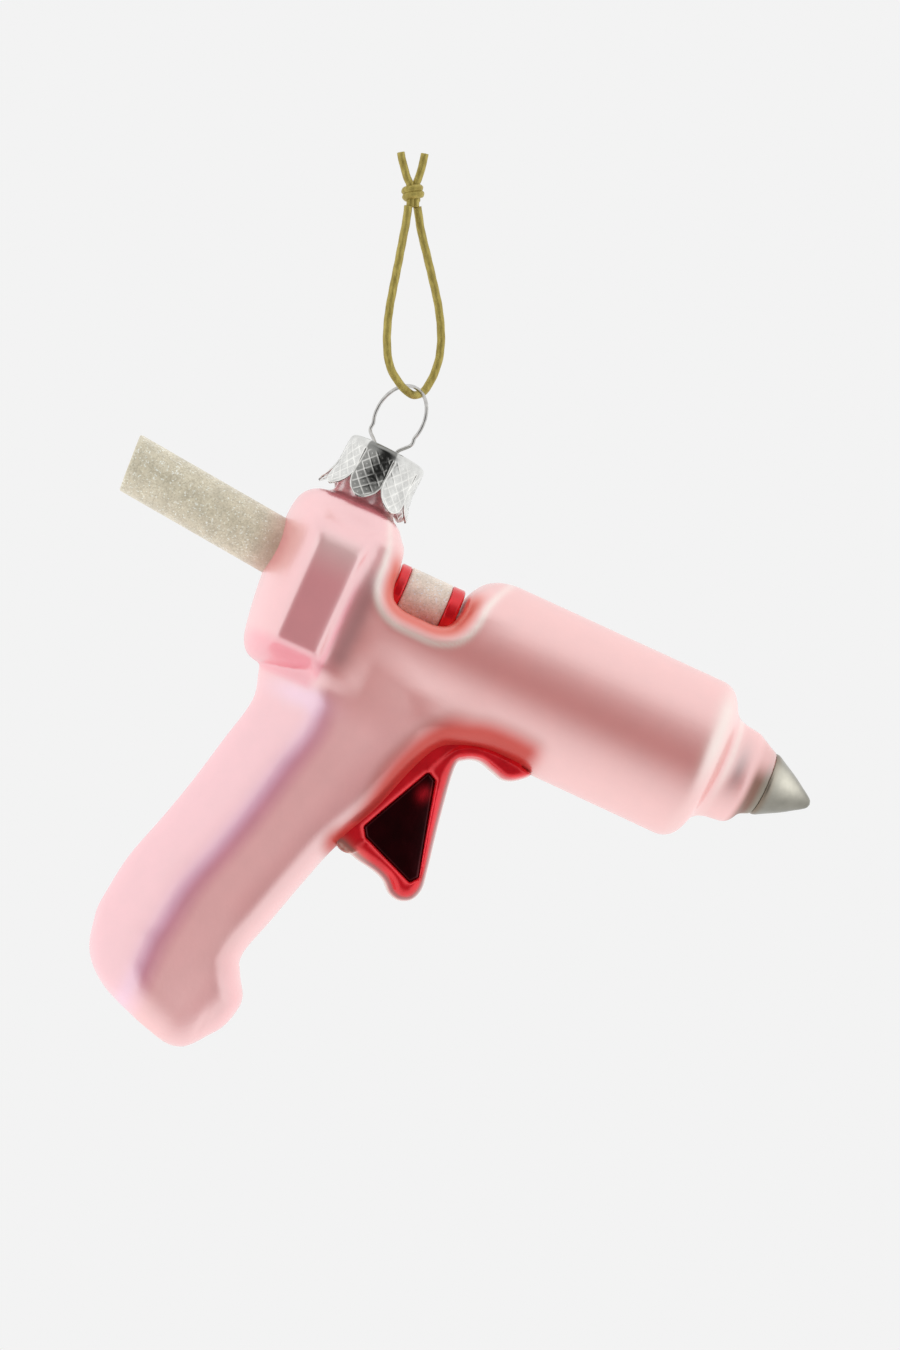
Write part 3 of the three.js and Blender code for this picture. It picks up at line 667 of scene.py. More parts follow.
def tinted(tree, color, attribute, tint, strength):
    """Mixes a tint into a colour by one of the mesh's masks."""
    mask = add_node(tree, "ShaderNodeAttribute", attribute_name=attribute)
    share = add_node(tree, "ShaderNodeMath", operation="MULTIPLY", use_clamp=True)
    share.inputs[1].default_value = strength
    tree.links.new(mask.outputs["Fac"], share.inputs[0])
    return blended(tree, color, tint, share.outputs[0])


def layered(tree, color, layers):
    """Tints a colour in turn. A layer is a mask's name, a tint and a strength."""
    for mask, tint, strength in layers:
        color = tinted(tree, color, mask, tint, strength)
    return color


def noise(tree, scale, detail, stretch=(1, 1, 1)):
    """Cloudy noise, its scale per metre."""
    place = tree.nodes.new("ShaderNodeTexCoord")
    mapping = tree.nodes.new("ShaderNodeMapping")
    mapping.inputs["Scale"].default_value = stretch
    texture = tree.nodes.new("ShaderNodeTexNoise")
    texture.inputs["Scale"].default_value = scale
    texture.inputs["Detail"].default_value = detail
    tree.links.new(place.outputs["Object"], mapping.inputs["Vector"])
    tree.links.new(mapping.outputs[0], texture.inputs["Vector"])
    return texture.outputs["Fac"]


def mapped(tree, value, limits, low, high, kind="LINEAR"):
    """A value between two limits, spread from low to high."""
    node = add_node(tree, "ShaderNodeMapRange", interpolation_type=kind)
    for name, number in zip(("From Min", "From Max", "To Min", "To Max"), (*limits, low, high)):
        node.inputs[name].default_value = number
    tree.links.new(value, node.inputs["Value"])
    return node.outputs["Result"]


def varied(tree, value, low, high):
    """A noise's value, spread from low to high."""
    return mapped(tree, value, (0.3, 0.7), low, high)


def cloudy(tree, scale, detail, low, high):
    return varied(tree, noise(tree, scale, detail), low, high)


def mottled(tree, shader, color, clouds):
    """Gives the shader a base colour, multiplied by a cloudy grey."""
    mix = add_node(tree, "ShaderNodeMix", data_type="RGBA", blend_type="MULTIPLY")
    mix.inputs["Factor"].default_value = 1
    tree.links.new(color, mix.inputs[6])
    tree.links.new(clouds, mix.inputs[7])
    tree.links.new(mix.outputs[2], shader.inputs["Base Color"])


def bumped(tree, shader, value, height):
    """Bumps on the surface, up to a height in metres."""
    bump = tree.nodes.new("ShaderNodeBump")
    bump.inputs["Distance"].default_value = height
    tree.links.new(value, bump.inputs["Height"])
    tree.links.new(bump.outputs[0], shader.inputs["Normal"])


def pearl_pink():
    """Satin pearl lacquer over mirrored glass, with its sprayed places, and painted highlights and painted
    shade.
    """
    material, tree, shader = new_material("pearl_pink", {
        "Roughness": 0.33, "IOR": 3.0, "Coat Roughness": 0.26, "Coat IOR": 2.8})
    color = layered(tree, (0.93, 0.275, 0.255), [
        ("cool", (0.97, 0.31, 0.375), 1.0),
        # painted pale highlight above the block's side panel and on the shoulder
        ("pale", (1.0, 0.62, 0.60), 0.85),
        ("fair", (1.0, 0.47, 0.46), 0.9),
        # painted shade beside the block and along the handle's front, and a painted dark reflection on the
        # collar
        ("mauve_shade", (0.42, 0.12, 0.12), 0.9),
        # painted lilac highlight along the handle's crease and on its shoulder
        ("lilac_highlight", (0.97, 0.45, 0.85), 0.5),
        # painted deep-pink shade in the groove, on the lower bevel, the neck's foot and the butt's lip
        ("deep_pink_shade", (0.95, 0.10, 0.17), 0.8),
        # painted cream highlight line round the notch's rim
        ("notch_rim_highlight", (1.0, 0.80, 0.70), 0.8),
        # painted cream highlights round the barrel's front edge and the collar
        ("cream_highlight", (1.0, 0.84, 0.74), 0.75),
        ("notch_spray", (0.72, 0.08, 0.05), 0.9),
        ("arch_edge", (0.55, 0.13, 0.10), 0.5),
        ("arch_spray", (0.50, 0.03, 0.022), 0.95),
        ("brown", (0.21, 0.11, 0.08), 0.95),
        ("silver", (0.30, 0.27, 0.22), 1.0),
    ])
    mottled(tree, shader, color, cloudy(tree, 260, 4.0, 0.965, 1.02))
    coat = layered(tree, (1.0, 1.0, 1.0), [
        ("arch_spray", (0.1, 0.1, 0.1), 1.0),
        ("brown", (0.02, 0.02, 0.02), 1.0),
        ("fair", (0.25, 0.25, 0.25), 1.0),
        ("notch_spray", (0.2, 0.2, 0.2), 1.0),
    ])
    tree.links.new(coat, shader.inputs["Coat Weight"])
    reflected = layered(tree, (1.0, 1.0, 1.0), [
        ("arch_spray", (0.9, 0.2, 0.16), 1.0),
        ("notch_spray", (1.0, 0.42, 0.34), 1.0),
        # painted pink tint on the reflections in those same shaded places
        ("deep_pink_shade", (1.0, 0.62, 0.72), 0.7),
        ("brown", (0.15, 0.12, 0.1), 1.0),
    ])
    tree.links.new(reflected, shader.inputs["Specular Tint"])
    bumped(tree, shader, noise(tree, 900, 3.0), 2.5e-5)
    return material


def silver_lacquer():
    """Satin champagne silver, a little brown at the rear, with a painted highlight on the tip's upper side.
    """
    material, tree, shader = new_material("silver_lacquer", {"Metallic": 0.85, "Roughness": 0.3})
    color = layered(tree, (0.26, 0.25, 0.215), [
        ("brown", (0.24, 0.17, 0.12), 0.8),
        # painted highlight on the tip's upper side
        ("light", (0.82, 0.79, 0.68), 0.9),
    ])
    mottled(tree, shader, color, cloudy(tree, 500, 4.0, 0.88, 1.05))
    bumped(tree, shader, noise(tree, 1500, 3.0), 1.5e-5)
    return material


def glitter(name, tones):
    """Lacquer with fine glitter, in four tones."""
    settings = {"Roughness": 0.45, "Coat Weight": 0.4, "Coat Roughness": 0.2}
    material, tree, shader = new_material(name, settings)
    place = tree.nodes.new("ShaderNodeTexCoord")
    flakes = tree.nodes.new("ShaderNodeTexVoronoi")
    flakes.inputs["Scale"].default_value = 4600
    tree.links.new(place.outputs["Object"], flakes.inputs["Vector"])
    tone = tree.nodes.new("ShaderNodeValToRGB")
    stops = tone.color_ramp.elements
    while len(stops) < len(tones):
        stops.new(0.5)
    for stop, at, color in zip(stops, (0.0, 0.45, 0.88, 0.98), tones):
        stop.position = at
        stop.color = (*color, 1)
    parts = tree.nodes.new("ShaderNodeSeparateColor")
    tree.links.new(flakes.outputs["Color"], parts.inputs[0])
    tree.links.new(parts.outputs[0], tone.inputs["Fac"])
    color = tinted(tree, tone.outputs["Color"], "tan", (0.62, 0.40, 0.30), 0.7)
    mottled(tree, shader, color, cloudy(tree, 420, 3.0, 0.86, 1.06))
    bumped(tree, shader, parts.outputs[1], 2.5e-5)
    return material


def mirror_lacquer(name, color, shade, metallic, coat):
    """Transparent lacquer over mirrored glass, a little uneven, with painted shade, a painted red highlight,
    and a pale seam line that is partly a painted edge highlight.
    """
    material, tree, shader = new_material(name, {
        "Metallic": metallic, "Roughness": 0.14, "Coat Weight": coat, "Coat Roughness": 0.05})
    uneven = cloudy(tree, 330, 3.0, 0.0, 0.6)
    color = layered(tree, blended(tree, color, shade, uneven), [
        # painted shade on the trigger's rolled edge
        ("shade", (0.22, 0.02, 0.015), 0.85),
        # painted red highlight
        ("red_highlight", (1.0, 0.02, 0.04), 1.0),
        # pale mould seam, partly a painted reflection on the edge
        ("seam", (0.75, 0.58, 0.48), 0.8),
    ])
    tree.links.new(color, shader.inputs["Base Color"])
    bumped(tree, shader, noise(tree, 420, 2.0), 7e-5)
    return material


def stamped_metal():
    """Bright sheet, with a raised pattern that shines more, partly by a painted highlight, and one petal
    painted dark as a painted reflection of the room's dark zone.
    """
    material, tree, shader = new_material("stamped_metal", {"Metallic": 1})
    color = layered(tree, (0.66, 0.66, 0.64), [
        # painted dark reflection on one petal
        ("painted_dark_petal", (0.16, 0.16, 0.15), 0.8),
        # raised pattern painted brighter, partly a painted highlight
        ("raised", (0.95, 0.94, 0.90), 0.8),
    ])
    mottled(tree, shader, color, cloudy(tree, 700, 3.0, 0.8, 1.08))
    tree.links.new(cloudy(tree, 900, 3.0, 0.06, 0.16), shader.inputs["Roughness"])
    bumped(tree, shader, noise(tree, 1200, 3.0), 1.5e-5)
    return material


def streaky(name, settings, scale, stretch, dark, light, height):
    """Metal with streaks from a dark to a light tone."""
    material, tree, shader = new_material(name, settings)
    streaks = noise(tree, scale, 3.0, stretch)
    color = blended(tree, dark, light, varied(tree, streaks, 0.0, 1.0))
    tree.links.new(color, shader.inputs["Base Color"])
    bumped(tree, shader, streaks, height)
    return material


def drawn_wire():
    settings = {"Metallic": 1, "Roughness": 0.22}
    return streaky("drawn_wire", settings, 1400, (1, 1, 1), (0.42, 0.41, 0.40), (0.56, 0.55, 0.53), 3e-6)


def gold_thread():
    settings = {"Metallic": 0.55, "Roughness": 0.48}
    return streaky("gold_thread", settings, 1800, (1, 1, 0.35), (0.30, 0.23, 0.05), (0.50, 0.41, 0.11), 1e-5)


# Light and camera


def make_world():
    """A soft room with a dark zone, which is mirrored. The camera sees a plain pale tone."""
    world = bpy.data.worlds.new("studio")
    bpy.context.scene.world = world
    world.use_nodes = True
    tree = world.node_tree
    tree.nodes.clear()
    place = tree.nodes.new("ShaderNodeTexCoord")
    axes = tree.nodes.new("ShaderNodeSeparateXYZ")
    tree.links.new(place.outputs["Generated"], axes.inputs[0])

    def arithmetic(operation, first, second=0.0):
        node = add_node(tree, "ShaderNodeMath", operation=operation)
        for socket, value in zip(node.inputs, (first, second)):
            if isinstance(value, float):
                socket.default_value = value
            else:
                tree.links.new(value, socket)
        return node.outputs[0]

    def ramp(value, limits, low, high):
        return mapped(tree, value, limits, low, high, "SMOOTHSTEP")

    beside = ramp(arithmetic("ABSOLUTE", axes.outputs["X"]), DARK_SIDE, 1.0, 0.0)
    above = ramp(axes.outputs["Z"], DARK_TOP, 1.0, 0.0)
    below = ramp(axes.outputs["Z"], DARK_BOTTOM, 0.0, 1.0)
    zone = arithmetic("MULTIPLY", beside, arithmetic("MULTIPLY", above, below))
    depth = ramp(axes.outputs["Y"], DARK_DEPTH, ROOM_LIGHT - DARK_FRONT, ROOM_LIGHT - DARK_BACK)
    room = arithmetic("SUBTRACT", ROOM_LIGHT, arithmetic("MULTIPLY", zone, depth))
    soft = tree.nodes.new("ShaderNodeBackground")
    tree.links.new(room, soft.inputs["Color"])
    seen = tree.nodes.new("ShaderNodeBackground")
    seen.inputs["Color"].default_value = (BACKGROUND, BACKGROUND, BACKGROUND, 1)
    ray = tree.nodes.new("ShaderNodeLightPath")
    mix = tree.nodes.new("ShaderNodeMixShader")
    tree.links.new(ray.outputs["Is Camera Ray"], mix.inputs["Fac"])
    tree.links.new(soft.outputs[0], mix.inputs[1])
    tree.links.new(seen.outputs[0], mix.inputs[2])
    out = tree.nodes.new("ShaderNodeOutputWorld")
    tree.links.new(mix.outputs[0], out.inputs["Surface"])


def make_camera():
    """A level camera, a little to one side."""
    data = bpy.data.cameras.new("camera")
    data.sensor_fit = "VERTICAL"
    data.sensor_height = SENSOR_HEIGHT
    data.lens = SENSOR_HEIGHT * CAMERA_DISTANCE / PICTURE_HEIGHT
    camera = bpy.data.objects.new("camera", data)
    bpy.context.scene.collection.objects.link(camera)
    away = Vector((math.sin(CAMERA_AZIMUTH), -math.cos(CAMERA_AZIMUTH), 0))
    camera.location = CAMERA_AIM + CAMERA_DISTANCE * away
    camera.rotation_euler = (math.pi / 2, 0, CAMERA_AZIMUTH)
    bpy.context.scene.camera = camera
    bpy.context.scene.view_settings.view_transform = "Standard"


# The cord, worked out before the rest

CORD_ROUTE = [
    (-0.8, -0.55, -0.3), (-1.05, -0.75, -2.4), (-1.8, -1.25, -6.2), (-2.6, -1.8, -10.2),
    (-3.4, -2.4, -14.0), (-4.0, -2.8, -17.2), (-4.35, -3.05, -20.4), (-4.35, -3.05, -23.6),
    (-3.9, -2.75, -26.2), (-2.75, -1.9, -28.3), (-1.35, -0.95, -29.85), (0.1, 0.05, -30.7),
    (1.6, 1.1, -30.2), (2.7, 1.9, -28.9), (3.7, 2.6, -27.0), (4.5, 3.15, -24.6), (4.85, 3.4, -21.8),
    (4.75, 3.3, -18.8), (4.3, 3.0, -15.6), (3.4, 2.4, -11.8), (2.4, 1.7, -7.9), (1.4, 1.0, -4.0),
    (0.8, 0.55, -0.3),
]
END_ROUTE = [(0.45, 0.3, -0.4), (0.4, 0.3, 1.5), (0.5, 0.35, 3.2), (1.0, 0.55, 4.4), (1.7, 0.8, 6.8),
             (2.0, 0.8, 8.3)]


def hanging_cord(material):
    """The cord's loop, and its middle line."""
    path = smooth_line(CORD_ROUTE, 14)
    cord = cord_piece("gold_cord", path, CORD_RADIUS, 30, material)
    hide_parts("hanging_cord")
    return cord, path / 1000


def cord_knot(material):
    """The knot round both strands, and the two ends that leave it."""
    rows = []
    for t in np.linspace(0, 1, 46):
        angle = math.tau * KNOT_TURNS * t + 0.6
        reach = KNOT_RADIUS - KNOT_SWELL * math.cos(math.tau * t)
        rows.append((reach * math.cos(angle), reach * math.sin(angle), KNOT_BOTTOM + KNOT_HEIGHT * t))
    knot = cord_piece("knot", rows, CORD_RADIUS, 20, material)
    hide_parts("cord_knot")
    pieces = [knot]
    for name, side in (("cord_end_left", -1), ("cord_end_right", 1)):
        route = smooth_line([(side * x, side * y, z) for x, y, z in END_ROUTE], 6)
        pieces.append(cord_piece(name, route, CORD_RADIUS * 0.96, 18, material))
    return pieces


make_camera()
make_world()

gold = gold_thread()
cord, cord_path = hanging_cord(gold)
knot_pieces = cord_knot(gold)


# Outlines of the trigger, in the side view

TRIGGER_ARCH = smooth_line(
    [(18.6, -36.4), (20.9, -32.8), (24.8, -21.0), (27.3, -16.0), (29.6, -13.5), (32.6, -12.3),
     (36.6, -12.1), (40.1, -12.4)], 6)
TRIGGER_FRONT = smooth_line(
    [(40.1, -12.4), (42.4, -13.6), (40.4, -15.7), (38.4, -16.4), (36.3, -15.9), (33.7, -15.3), (31.5, -16.1),
     (30.7, -17.9), (32.0, -26.7), (33.5, -34.6), (33.9, -37.7), (33.1, -39.9), (31.2, -40.9), (29.2, -40.5),
     (27.5, -39.0), (25.4, -38.2), (22.2, -37.6), (18.6, -36.4)], 5)
TRIGGER_OUTLINE = np.vstack([TRIGGER_ARCH[:-1], TRIGGER_FRONT[:-1]])
POCKET = np.array([
    (27.0, -20.6), (28.0, -21.1), (31.9, -36.1), (31.2, -37.0), (22.2, -33.4), (21.4, -32.2)])


# Masks that say where each tint of the glass body lies, painted highlights and painted shade among them


def arch_masks(x, z):
    """Dark red spray round the trigger's arch, and the line along its edge."""
    reach = line_distance(x, z, TRIGGER_ARCH)
    thin = 0.8 * rise(-z, 20, 32)
    wide = 1.1 * fall(x, 25, 30) * rise(z, -34, -20)
    tail = 1 - 0.9 * rise(x, 39.5, 43.5)
    spray = fall(reach, 1.5 + wide - 0.4 * thin, 5.3 + wide - 1.4 * thin)
    line = spot(reach, 3.7 + wide - 1.2 * thin, 1.1)
    return {"arch_spray": tail * spray, "arch_edge": tail * line}


def notch_masks(x, z):
    """Red spray round the notch, and a painted cream highlight line outside it."""
    reach = outline_distance(x, z, NOTCH_OUTLINE)
    spray = fall(reach, 0.9, 2.7) * fall(z, 7, 10.5)
    line = spot(reach, 2.9, 0.6) * (1 - 0.4 * rise(z, 8, 12))
    return {"notch_spray": spray, "notch_rim_highlight": line}


def deep_pink_shade_mask(x, y, z):
    """Painted deep-pink shade and reflected pink in the groove in front of the block, on its lower bevel,
    the neck's foot and the butt's lip.
    """
    groove = spot(x, BLOCK_FRONT - 2.6, 0.5) * between(z, (-15.5, -13), (-3, 6)) * rise(y, 10, 11.5)
    bevel = between(x, (-10.8, -7.5), (2.5, 4.5)) * between(-z, (9.6, 12), (15.3, 16.5))
    foot = spot(np.hypot(x, y), 7.6, 1.6) * rise(z, 12.6, 14.2)
    lip = spot(front_depth(x, z), 1.5, 2.2) * rise(-z, 56, 63)
    return np.clip(groove + 0.85 * bevel + 0.3 * foot + 0.2 * lip, 0, 1)


def shoulder_mask(x, z):
    """Where the handle leaves the block."""
    return spot(x, 2.5, 4.5) * spot(z, BLOCK_BOTTOM - 2.3, 1.8)


def lilac_highlight_mask(x, z):
    """Painted lilac highlight along the handle's crease, and on the shoulder."""
    along = spot(x - crease_place(z), -1.4, 1.5) * rise(-z, 14.5, 18)
    return np.clip(0.8 * along + shoulder_mask(x, z), 0, 1)


def cool_mask(x, z):
    """The handle's back, and weakly its side and the block."""
    handle = rise(-z, 10, 24) * (1 - 0.75 * rise(x - crease_place(z), 0.5, 5))
    return np.maximum(handle, 0.55 * fall(x, 3, 8))


def cream_highlight_mask(x, z):
    """Painted cream highlights in bands round the barrel's front edge and the collar."""
    lit = 0.15 + 0.85 * between(z, (-7, 3), (8, 13))
    return lit * (spot(x, BARREL_FRONT - 2, 1.5) + 0.7 * spot(x, BARREL_FRONT + 1.8, 0.6))


def mauve_shade_mask(x, y, z):
    """Painted shade on the step beside the block, a painted dark reflection on the collar, and painted shade
    along the handle's front.
    """
    step = spot(x, 5.8, 1.7) * between(z, (-13, -9), (3, 8)) * rise(y, 9, 11)
    patch = spot(x, BARREL_FRONT + 3.7, 1.1) * spot(z, 1, 3.6)
    line = spot(front_depth(x, z), 3.5, 2.0) * rise(-z, 18, 28) * rise(y, 5, 7)
    return np.clip(0.8 * step + patch + 0.2 * line, 0, 1)


def pale_highlight_mask(x, y, z):
    """Painted pale highlight just above the block's side panel, and on the shoulder."""
    above = between(z, (0, 8), (6, 9)) * rise(y, 10, 12) * fall(np.abs(x + 1.5), 2.5, 4.5)
    return np.clip(above + 0.5 * shoulder_mask(x, z), 0, 1)


def fair_mask(x, z):
    """The handle's flat side, next to its crease."""
    wider = 0.35 * rise(-z, 50, 62)
    beside = rise(x - crease_place(z), 0.5, 3) * fall(side_share(x, z), 0.35 + wider, 0.8 + wider)
    return rise(-z, 13, 20) * beside


def glass_body(material):
    """The pink glass, with a mask for each of its tints, painted highlights and painted shade among them."""
    points, faces = zero_surface(glass_distance, BODY_BOX, BODY_STEP)
    body = glass_piece("glass_body", points, faces, material)
    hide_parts("casing")
    x, y, z = points.T
    y = np.abs(y)
    low_front = 1 - 0.75 * rise(z, 0, 4.5)
    masks = {
        **arch_masks(x, z),
        **notch_masks(x, z),
        "deep_pink_shade": deep_pink_shade_mask(x, y, z),
        "lilac_highlight": lilac_highlight_mask(x, z),
        "cool": cool_mask(x, z),
        "cream_highlight": cream_highlight_mask(x, z),
        "pale": pale_highlight_mask(x, y, z),
        "fair": fair_mask(x, z),
        "mauve_shade": mauve_shade_mask(x, y, z),
        "brown": low_front * rise(x, COLLAR_FRONT - 1.8, COLLAR_FRONT),
        "silver": low_front * rise(x, COLLAR_FRONT + 0.5, TIP_REAR - 0.3),
    }
    for name, values in masks.items():
        add_attribute(body, name, values)


# The pieces that are set in the glass


def nozzle_tip(material):
    """The cone, which bulges a little, down to its rounded end."""
    rear = TIP_REAR - 0.3
    side = [(TIP_REAR + 0.1, TIP_RADIUS), (TIP_REAR + 0.7, TIP_RADIUS - 0.1)]
    side += [(TIP_FRONT - back, radius) for back, radius in TIP_SIDE]
    side.append((TIP_FRONT, 0))
    points, faces = lathe([(rear, 0.0), (rear, TIP_RADIUS - 0.9), *smooth_line(side, 5)], 96)
    points[:, 2] += NOSE_LIFT
    tip = glass_piece("silver_tip", points, faces, material)
    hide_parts("nozzle_tip")
    x, y, z = points.T
    add_attribute(tip, "brown", fall(x, TIP_REAR - 0.2, TIP_REAR + 1.6))
    # painted highlight: a lighter patch on the tip's upper side, towards its rear
    upward = np.arctan2(z - NOSE_LIFT, np.abs(y))
    add_attribute(tip, "light", spot(x, TIP_REAR + 3.2, 3.0) * spot(upward, 0.42, 0.5))


def rear_stick(material):
    """The long stick behind the block, cut off at a slant."""
    length = (BLOCK_REAR - STICK_END) / math.cos(STICK_TILT)
    rows = [(STICK_SINK, 0), (STICK_SINK, STICK_RADIUS)]
    rows += [(along, STICK_RADIUS) for along in np.linspace(STICK_SINK - 0.1, 0.35 - length, 60)]
    rows += [(0.12 - length, STICK_RADIUS - 0.08), (0.02 - length, STICK_RADIUS - 0.3), (-length, 3.6)]
    rows += [(-length, 1.8), (-length, 0)]
    points, faces = lathe(rows, 72)
    x, y, z = points.T
    x -= np.clip(-x / length, 0, 1) ** CUT_POWER * z * math.tan(CUT_SLANT)
    points = tilted(points, STICK_TILT, BLOCK_REAR, STICK_ROOT_HEIGHT)
    faces = [face[::-1] for face in faces]
    stick = glass_piece("long_stick", points, faces, material)
    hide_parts("glue_stick_rear")
    add_attribute(stick, "tan", rise(x, -4.5, 0.5))


def front_stick(material):
    """The short stick that the notch shows."""
    rear = SIGHT_REAR - SIGHT_SINK
    front = SIGHT_FRONT + SIGHT_SINK
    rows = [(rear, 0), (rear, SIGHT_RADIUS - 0.2)]
    rows += [(along, SIGHT_RADIUS) for along in np.linspace(rear + 0.15, front - 0.15, 16)]
    rows += [(front, SIGHT_RADIUS - 0.2), (front, 0)]
    points, faces = lathe(rows, 72)
    points[:, 2] += SIGHT_HEIGHT
    stick = glass_piece("short_stick", points, faces, material)
    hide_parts("glue_stick_front")
    add_attribute(stick, "tan", 0.15 * fall(points[:, 2], 0.5, 3.5))


def liner_distance(x, y, z):
    """The saddle under the short stick, and its two round ends."""
    radius = np.hypot(y, z - SIGHT_HEIGHT)
    rear = NOTCH_REAR + SEAT_GAP
    front = NOTCH_FRONT - SEAT_GAP
    ends = rounded_bar(x, radius, rear, front, SIGHT_RADIUS, 0.35)
    along = np.abs(x - (rear + front) / 2) - (front - rear) / 2
    up = np.abs(z - NOTCH_FLOOR + LINER_SINK / 2) - LINER_SINK / 2
    saddle = np.maximum(np.maximum(along, y - LINER_HALF), up)
    start = SIGHT_REAR - SEAT_GAP
    end = SIGHT_FRONT + SEAT_GAP
    trough = rounded_bar(x, radius, start, end, SIGHT_RADIUS + SEAT_GAP, 0.1)
    return cut(join(ends, saddle, 0.5), trough, 0.3)


def notch_liner(material):
    points, faces = zero_surface(liner_distance, LINER_BOX, LINER_STEP)
    liner = glass_piece("red_liner", points, faces, material)
    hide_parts("notch_liner")


def trigger_distance(x, y, z):
    """The blade with its rolled edge, the tongue along the arch, and the panel's pocket."""
    roll = ROLL_TOP + ROLL_GAIN * rise(-z, 14, 22)
    blade = rolled(-outline_distance(x, z, TRIGGER_OUTLINE), y, roll, TRIGGER_HALF)
    tongue = line_distance(x, z, TRIGGER_ARCH[3:-4]) - TONGUE
    blade = join(blade, np.maximum(tongue, y - TRIGGER_HALF + 0.4), 0.4)
    pocket = outline_distance(x, z, POCKET) - POCKET_ROUND
    return cut(blade, np.maximum(pocket, TRIGGER_HALF - POCKET_DEPTH - y), 0.9)


def trigger(material):
    """The red trigger, with its pale seam, partly a painted edge highlight, and painted shade and a painted
    highlight line on its rim.
    """
    points, faces = zero_surface(trigger_distance, TRIGGER_BOX, TRIGGER_STEP)
    blade = glass_piece("red_trigger", points, faces, material)
    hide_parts("trigger")
    x, y, z = points.T
    edge = line_distance(x, z, TRIGGER_FRONT)
    # the thin line is the mould seam, partly a painted reflection; the wider band at the heel is a painted
    # edge highlight
    heel = spot(edge, 0, 1.2) * fall(x, 21.5, 25) * rise(-z, 30, 34)
    add_attribute(blade, "seam", np.maximum(spot(edge, 0.1, 0.16), 0.5 * heel))
    # painted shade on the rolled edge
    add_attribute(blade, "shade", spot(edge, 0.6, 0.4) * rise(-z, 15, 18))
    # painted red highlight line along the rim
    bright = line_distance(x, z, [(29.3, -22.5), (32.0, -35.0)])
    add_attribute(blade, "red_highlight", spot(bright, 0, 0.6))


def panel_distance(x, y, z):
    """A dark panel, which bulges a little in its middle."""
    outline = outline_distance(x, z, POCKET)
    half = PANEL_HALF + PANEL_BULGE * (1 - np.exp(np.minimum(outline, 0) / 1.6))
    return rolled(PANEL_HALF - outline, y, 0.3, half)


def trigger_panel(name, node, side, material):
    """The dark panel in the trigger's pocket on one side."""
    points, faces = zero_surface(panel_distance, PANEL_BOX, PANEL_STEP)
    points[:, 1] += side * PANEL_PLACE
    panel = glass_piece(name, points, faces, material)
    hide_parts(node)
    # painted red highlight on the panel's bulge
    add_attribute(panel, "red_highlight", spot(points[:, 0], 27.4, 1.0) * spot(points[:, 2], -23.6, 1.3))


# The cap and its wire


def cap_row(along):
    """Radius and height of the cap's sheet, a distance along it from the middle of its top."""
    flat = CAP_RADIUS - CAP_EDGE
    if along < flat:
        return along, 0.0
    bend = CAP_EDGE * math.pi / 2
    if along < flat + bend:
        angle = (along - flat) / CAP_EDGE
        return flat + CAP_EDGE * math.sin(angle), CAP_EDGE * (math.cos(angle) - 1)
    down = CAP_EDGE + along - flat - bend
    flare = max(down - CAP_WAIST, 0) / (CAP_SKIRT - CAP_WAIST)
    return CAP_RADIUS + CAP_FLARE * flare**1.6, -down


def petal_half(from_tip):
    """Half a petal's width at a distance up from its tip."""
    return np.interp(from_tip, *np.transpose(PETAL_OUTLINE))


def lattice(around, down):
    """Raised diamond lines with a dot in each field."""
    one = (around + down) / LATTICE_PITCH % 1 - 0.5
    two = (around - down) / LATTICE_PITCH % 1 - 0.5
    width = LATTICE_WIDTH / LATTICE_PITCH
    lines = np.maximum(spot(one, 0, width), spot(two, 0, width))
    dots = spot(np.abs(one), 0.5, width) * spot(np.abs(two), 0.5, width)
    return np.maximum(lines, 0.8 * dots)


def petal_row(radius, height, middle, bend, across):
    """A row of points across a petal, and how far each is raised."""
    down = -height
    half = math.pi / PETAL_COUNT
    edge = np.full(len(across), 1.0)
    if down > PETAL_ROOT:
        opening = rise(down, PETAL_ROOT, PETAL_ROOT + 0.5)
        half += (petal_half(CAP_SKIRT - down) / radius - half) * opening
        edge = (1 - np.abs(across)) * half * radius
    edge = np.minimum(edge, max(CAP_SKIRT - down, 0) + 0.1)
    angle = middle + across * half
    pattern = lattice(angle * CAP_RADIUS, down) * rise(down, 1.2, 1.8) * rise(edge, 0.35, 0.6)
    raised = np.maximum(pattern, spot(edge, RIM_PLACE, RIM_WIDTH))
    reach = radius + RELIEF * raised * rise(radius, 5.8, 6.6) + bend * (max(down - 3, 0) / 6.5) ** 2
    return np.stack([reach * np.cos(angle), reach * np.sin(angle), np.full(len(across), height)], 1), raised


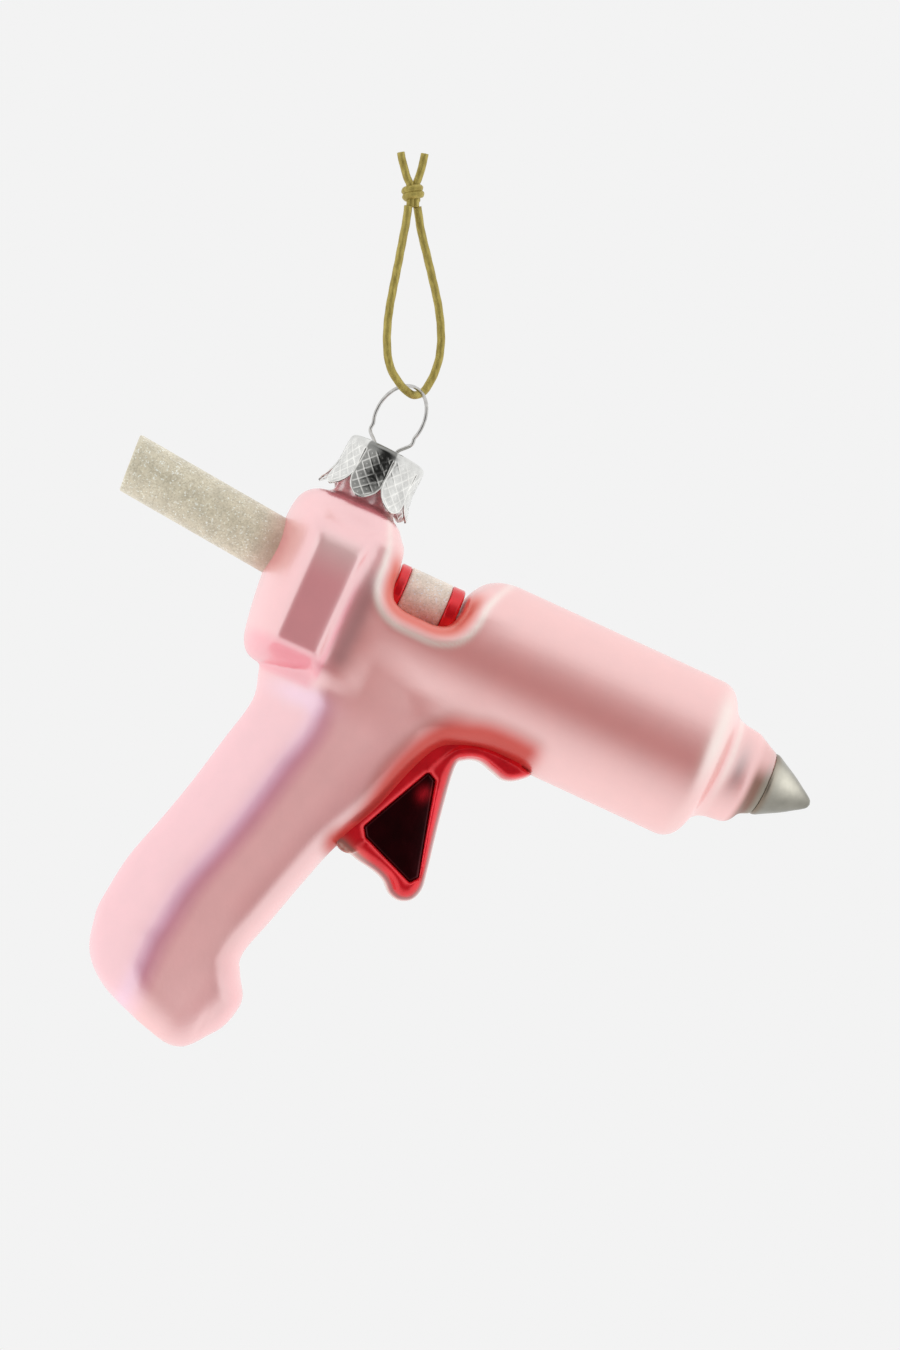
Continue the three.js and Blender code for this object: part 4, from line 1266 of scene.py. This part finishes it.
def cap(material):
    """The stamped cap, made in a slice for each petal and welded."""
    length = CAP_RADIUS - CAP_EDGE + CAP_EDGE * math.pi / 2 + CAP_SKIRT - CAP_EDGE
    rows = [cap_row(along) for along in np.linspace(0.05, length, 122)]
    across = np.linspace(-1, 1, 41)
    slice_points = len(rows) * len(across)
    points = []
    faces = []
    raised = []
    painted_dark_petal = []
    for petal in range(PETAL_COUNT):
        middle = CAP_TURN + (petal + 0.5) * math.tau / PETAL_COUNT
        bend = PETAL_BEND * math.sin(2.4 * petal + 0.5)
        for radius, height in rows:
            row, heights = petal_row(radius, height, middle, bend, across)
            points.append(row)
            raised.append(heights)
        # the petal facing the room's dark zone gets a painted dark reflection
        away = abs(math.remainder(middle - DARK_PETAL_SIDE, math.tau))
        painted_dark_petal.append(np.full(slice_points, away < math.pi / PETAL_COUNT))
        faces += grid_faces(len(rows), len(across), closed=False, first=petal * slice_points)
    leaned = tilted(np.vstack(points), CAP_LEAN, CAP_SHIFT, CAP_TOP)
    crown = make_object("crown_cap", gun_to_world(leaned), faces, material, "cap")
    add_attribute(crown, "raised", np.concatenate(raised))
    add_attribute(crown, "painted_dark_petal", np.concatenate(painted_dark_petal))
    weld = crown.modifiers.new("weld", "WELD")
    weld.merge_threshold = 2e-6
    sheet = crown.modifiers.new("sheet", "SOLIDIFY")
    sheet.thickness = CAP_SHEET / 1000
    sheet.offset = -1
    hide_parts("cap")


def hanger_wire(material):
    """The spring wire's ring, feet and legs, which spread inside the neck."""
    spread = NECK_RADIUS - NECK_WALL - SEAT_GAP - WIRE_RADIUS

    def place(side, distance, up, back):
        x = side * distance * math.cos(RING_YAW) - back * RING_LEAN
        return (x, -side * distance * math.sin(RING_YAW), CAP_TOP + up)

    def leg(side):
        knee = LEG_SPACING + 0.6 * (spread - LEG_SPACING)
        rows = [(spread, -LEG_LENGTH, 0), (spread, -0.7 * LEG_LENGTH, 0), (knee, -0.42 * LEG_LENGTH, 0.6),
                (LEG_SPACING + 0.1, -0.2 * LEG_LENGTH, 1), (LEG_SPACING, -1.2, 1), (LEG_SPACING, 0.4, 1),
                (FOOT_SPACING, FOOT_HEIGHT, 1)]
        return [place(side, *row) for row in rows]

    ring = []
    for angle in np.linspace(math.pi + RING_OPEN, -RING_OPEN, 25):
        up = RING_HEIGHT + RING_RADIUS * math.sin(angle)
        ring.append(place(1, RING_RADIUS * math.cos(angle), up, 1))
    path = smooth_line([*leg(-1), *ring, *leg(1)[::-1]], 8)
    points, faces = tube(path, WIRE_RADIUS, 16)
    made = make_object("spring_wire", gun_to_world(points), faces, material, "hanger")
    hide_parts("hanger_wire")


glass_body(pearl_pink())
nozzle_tip(silver_lacquer())
cream_tones = [(0.62, 0.56, 0.41), (0.76, 0.69, 0.52), (0.82, 0.76, 0.59), (1, 1, 0.9)]
pale_tones = [(0.80, 0.70, 0.58), (0.94, 0.83, 0.70), (1.0, 0.90, 0.78), (1, 1, 1)]
rear_stick(glitter("cream_glitter", cream_tones))
front_stick(glitter("pale_glitter", pale_tones))
red = mirror_lacquer("red_lacquer", (0.92, 0.014, 0.026), (0.58, 0.006, 0.013), metallic=0.3, coat=0.4)
dark = mirror_lacquer("dark_lacquer", (0.06, 0.0, 0.003), (0.012, 0.0, 0.0), metallic=0.8, coat=0.25)
notch_liner(red)
trigger(red)
trigger_panel("dark_panel_near", "trigger_panel_near", -1, dark)
trigger_panel("dark_panel_far", "trigger_panel_far", 1, dark)
cap(stamped_metal())
hanger_wire(drawn_wire())
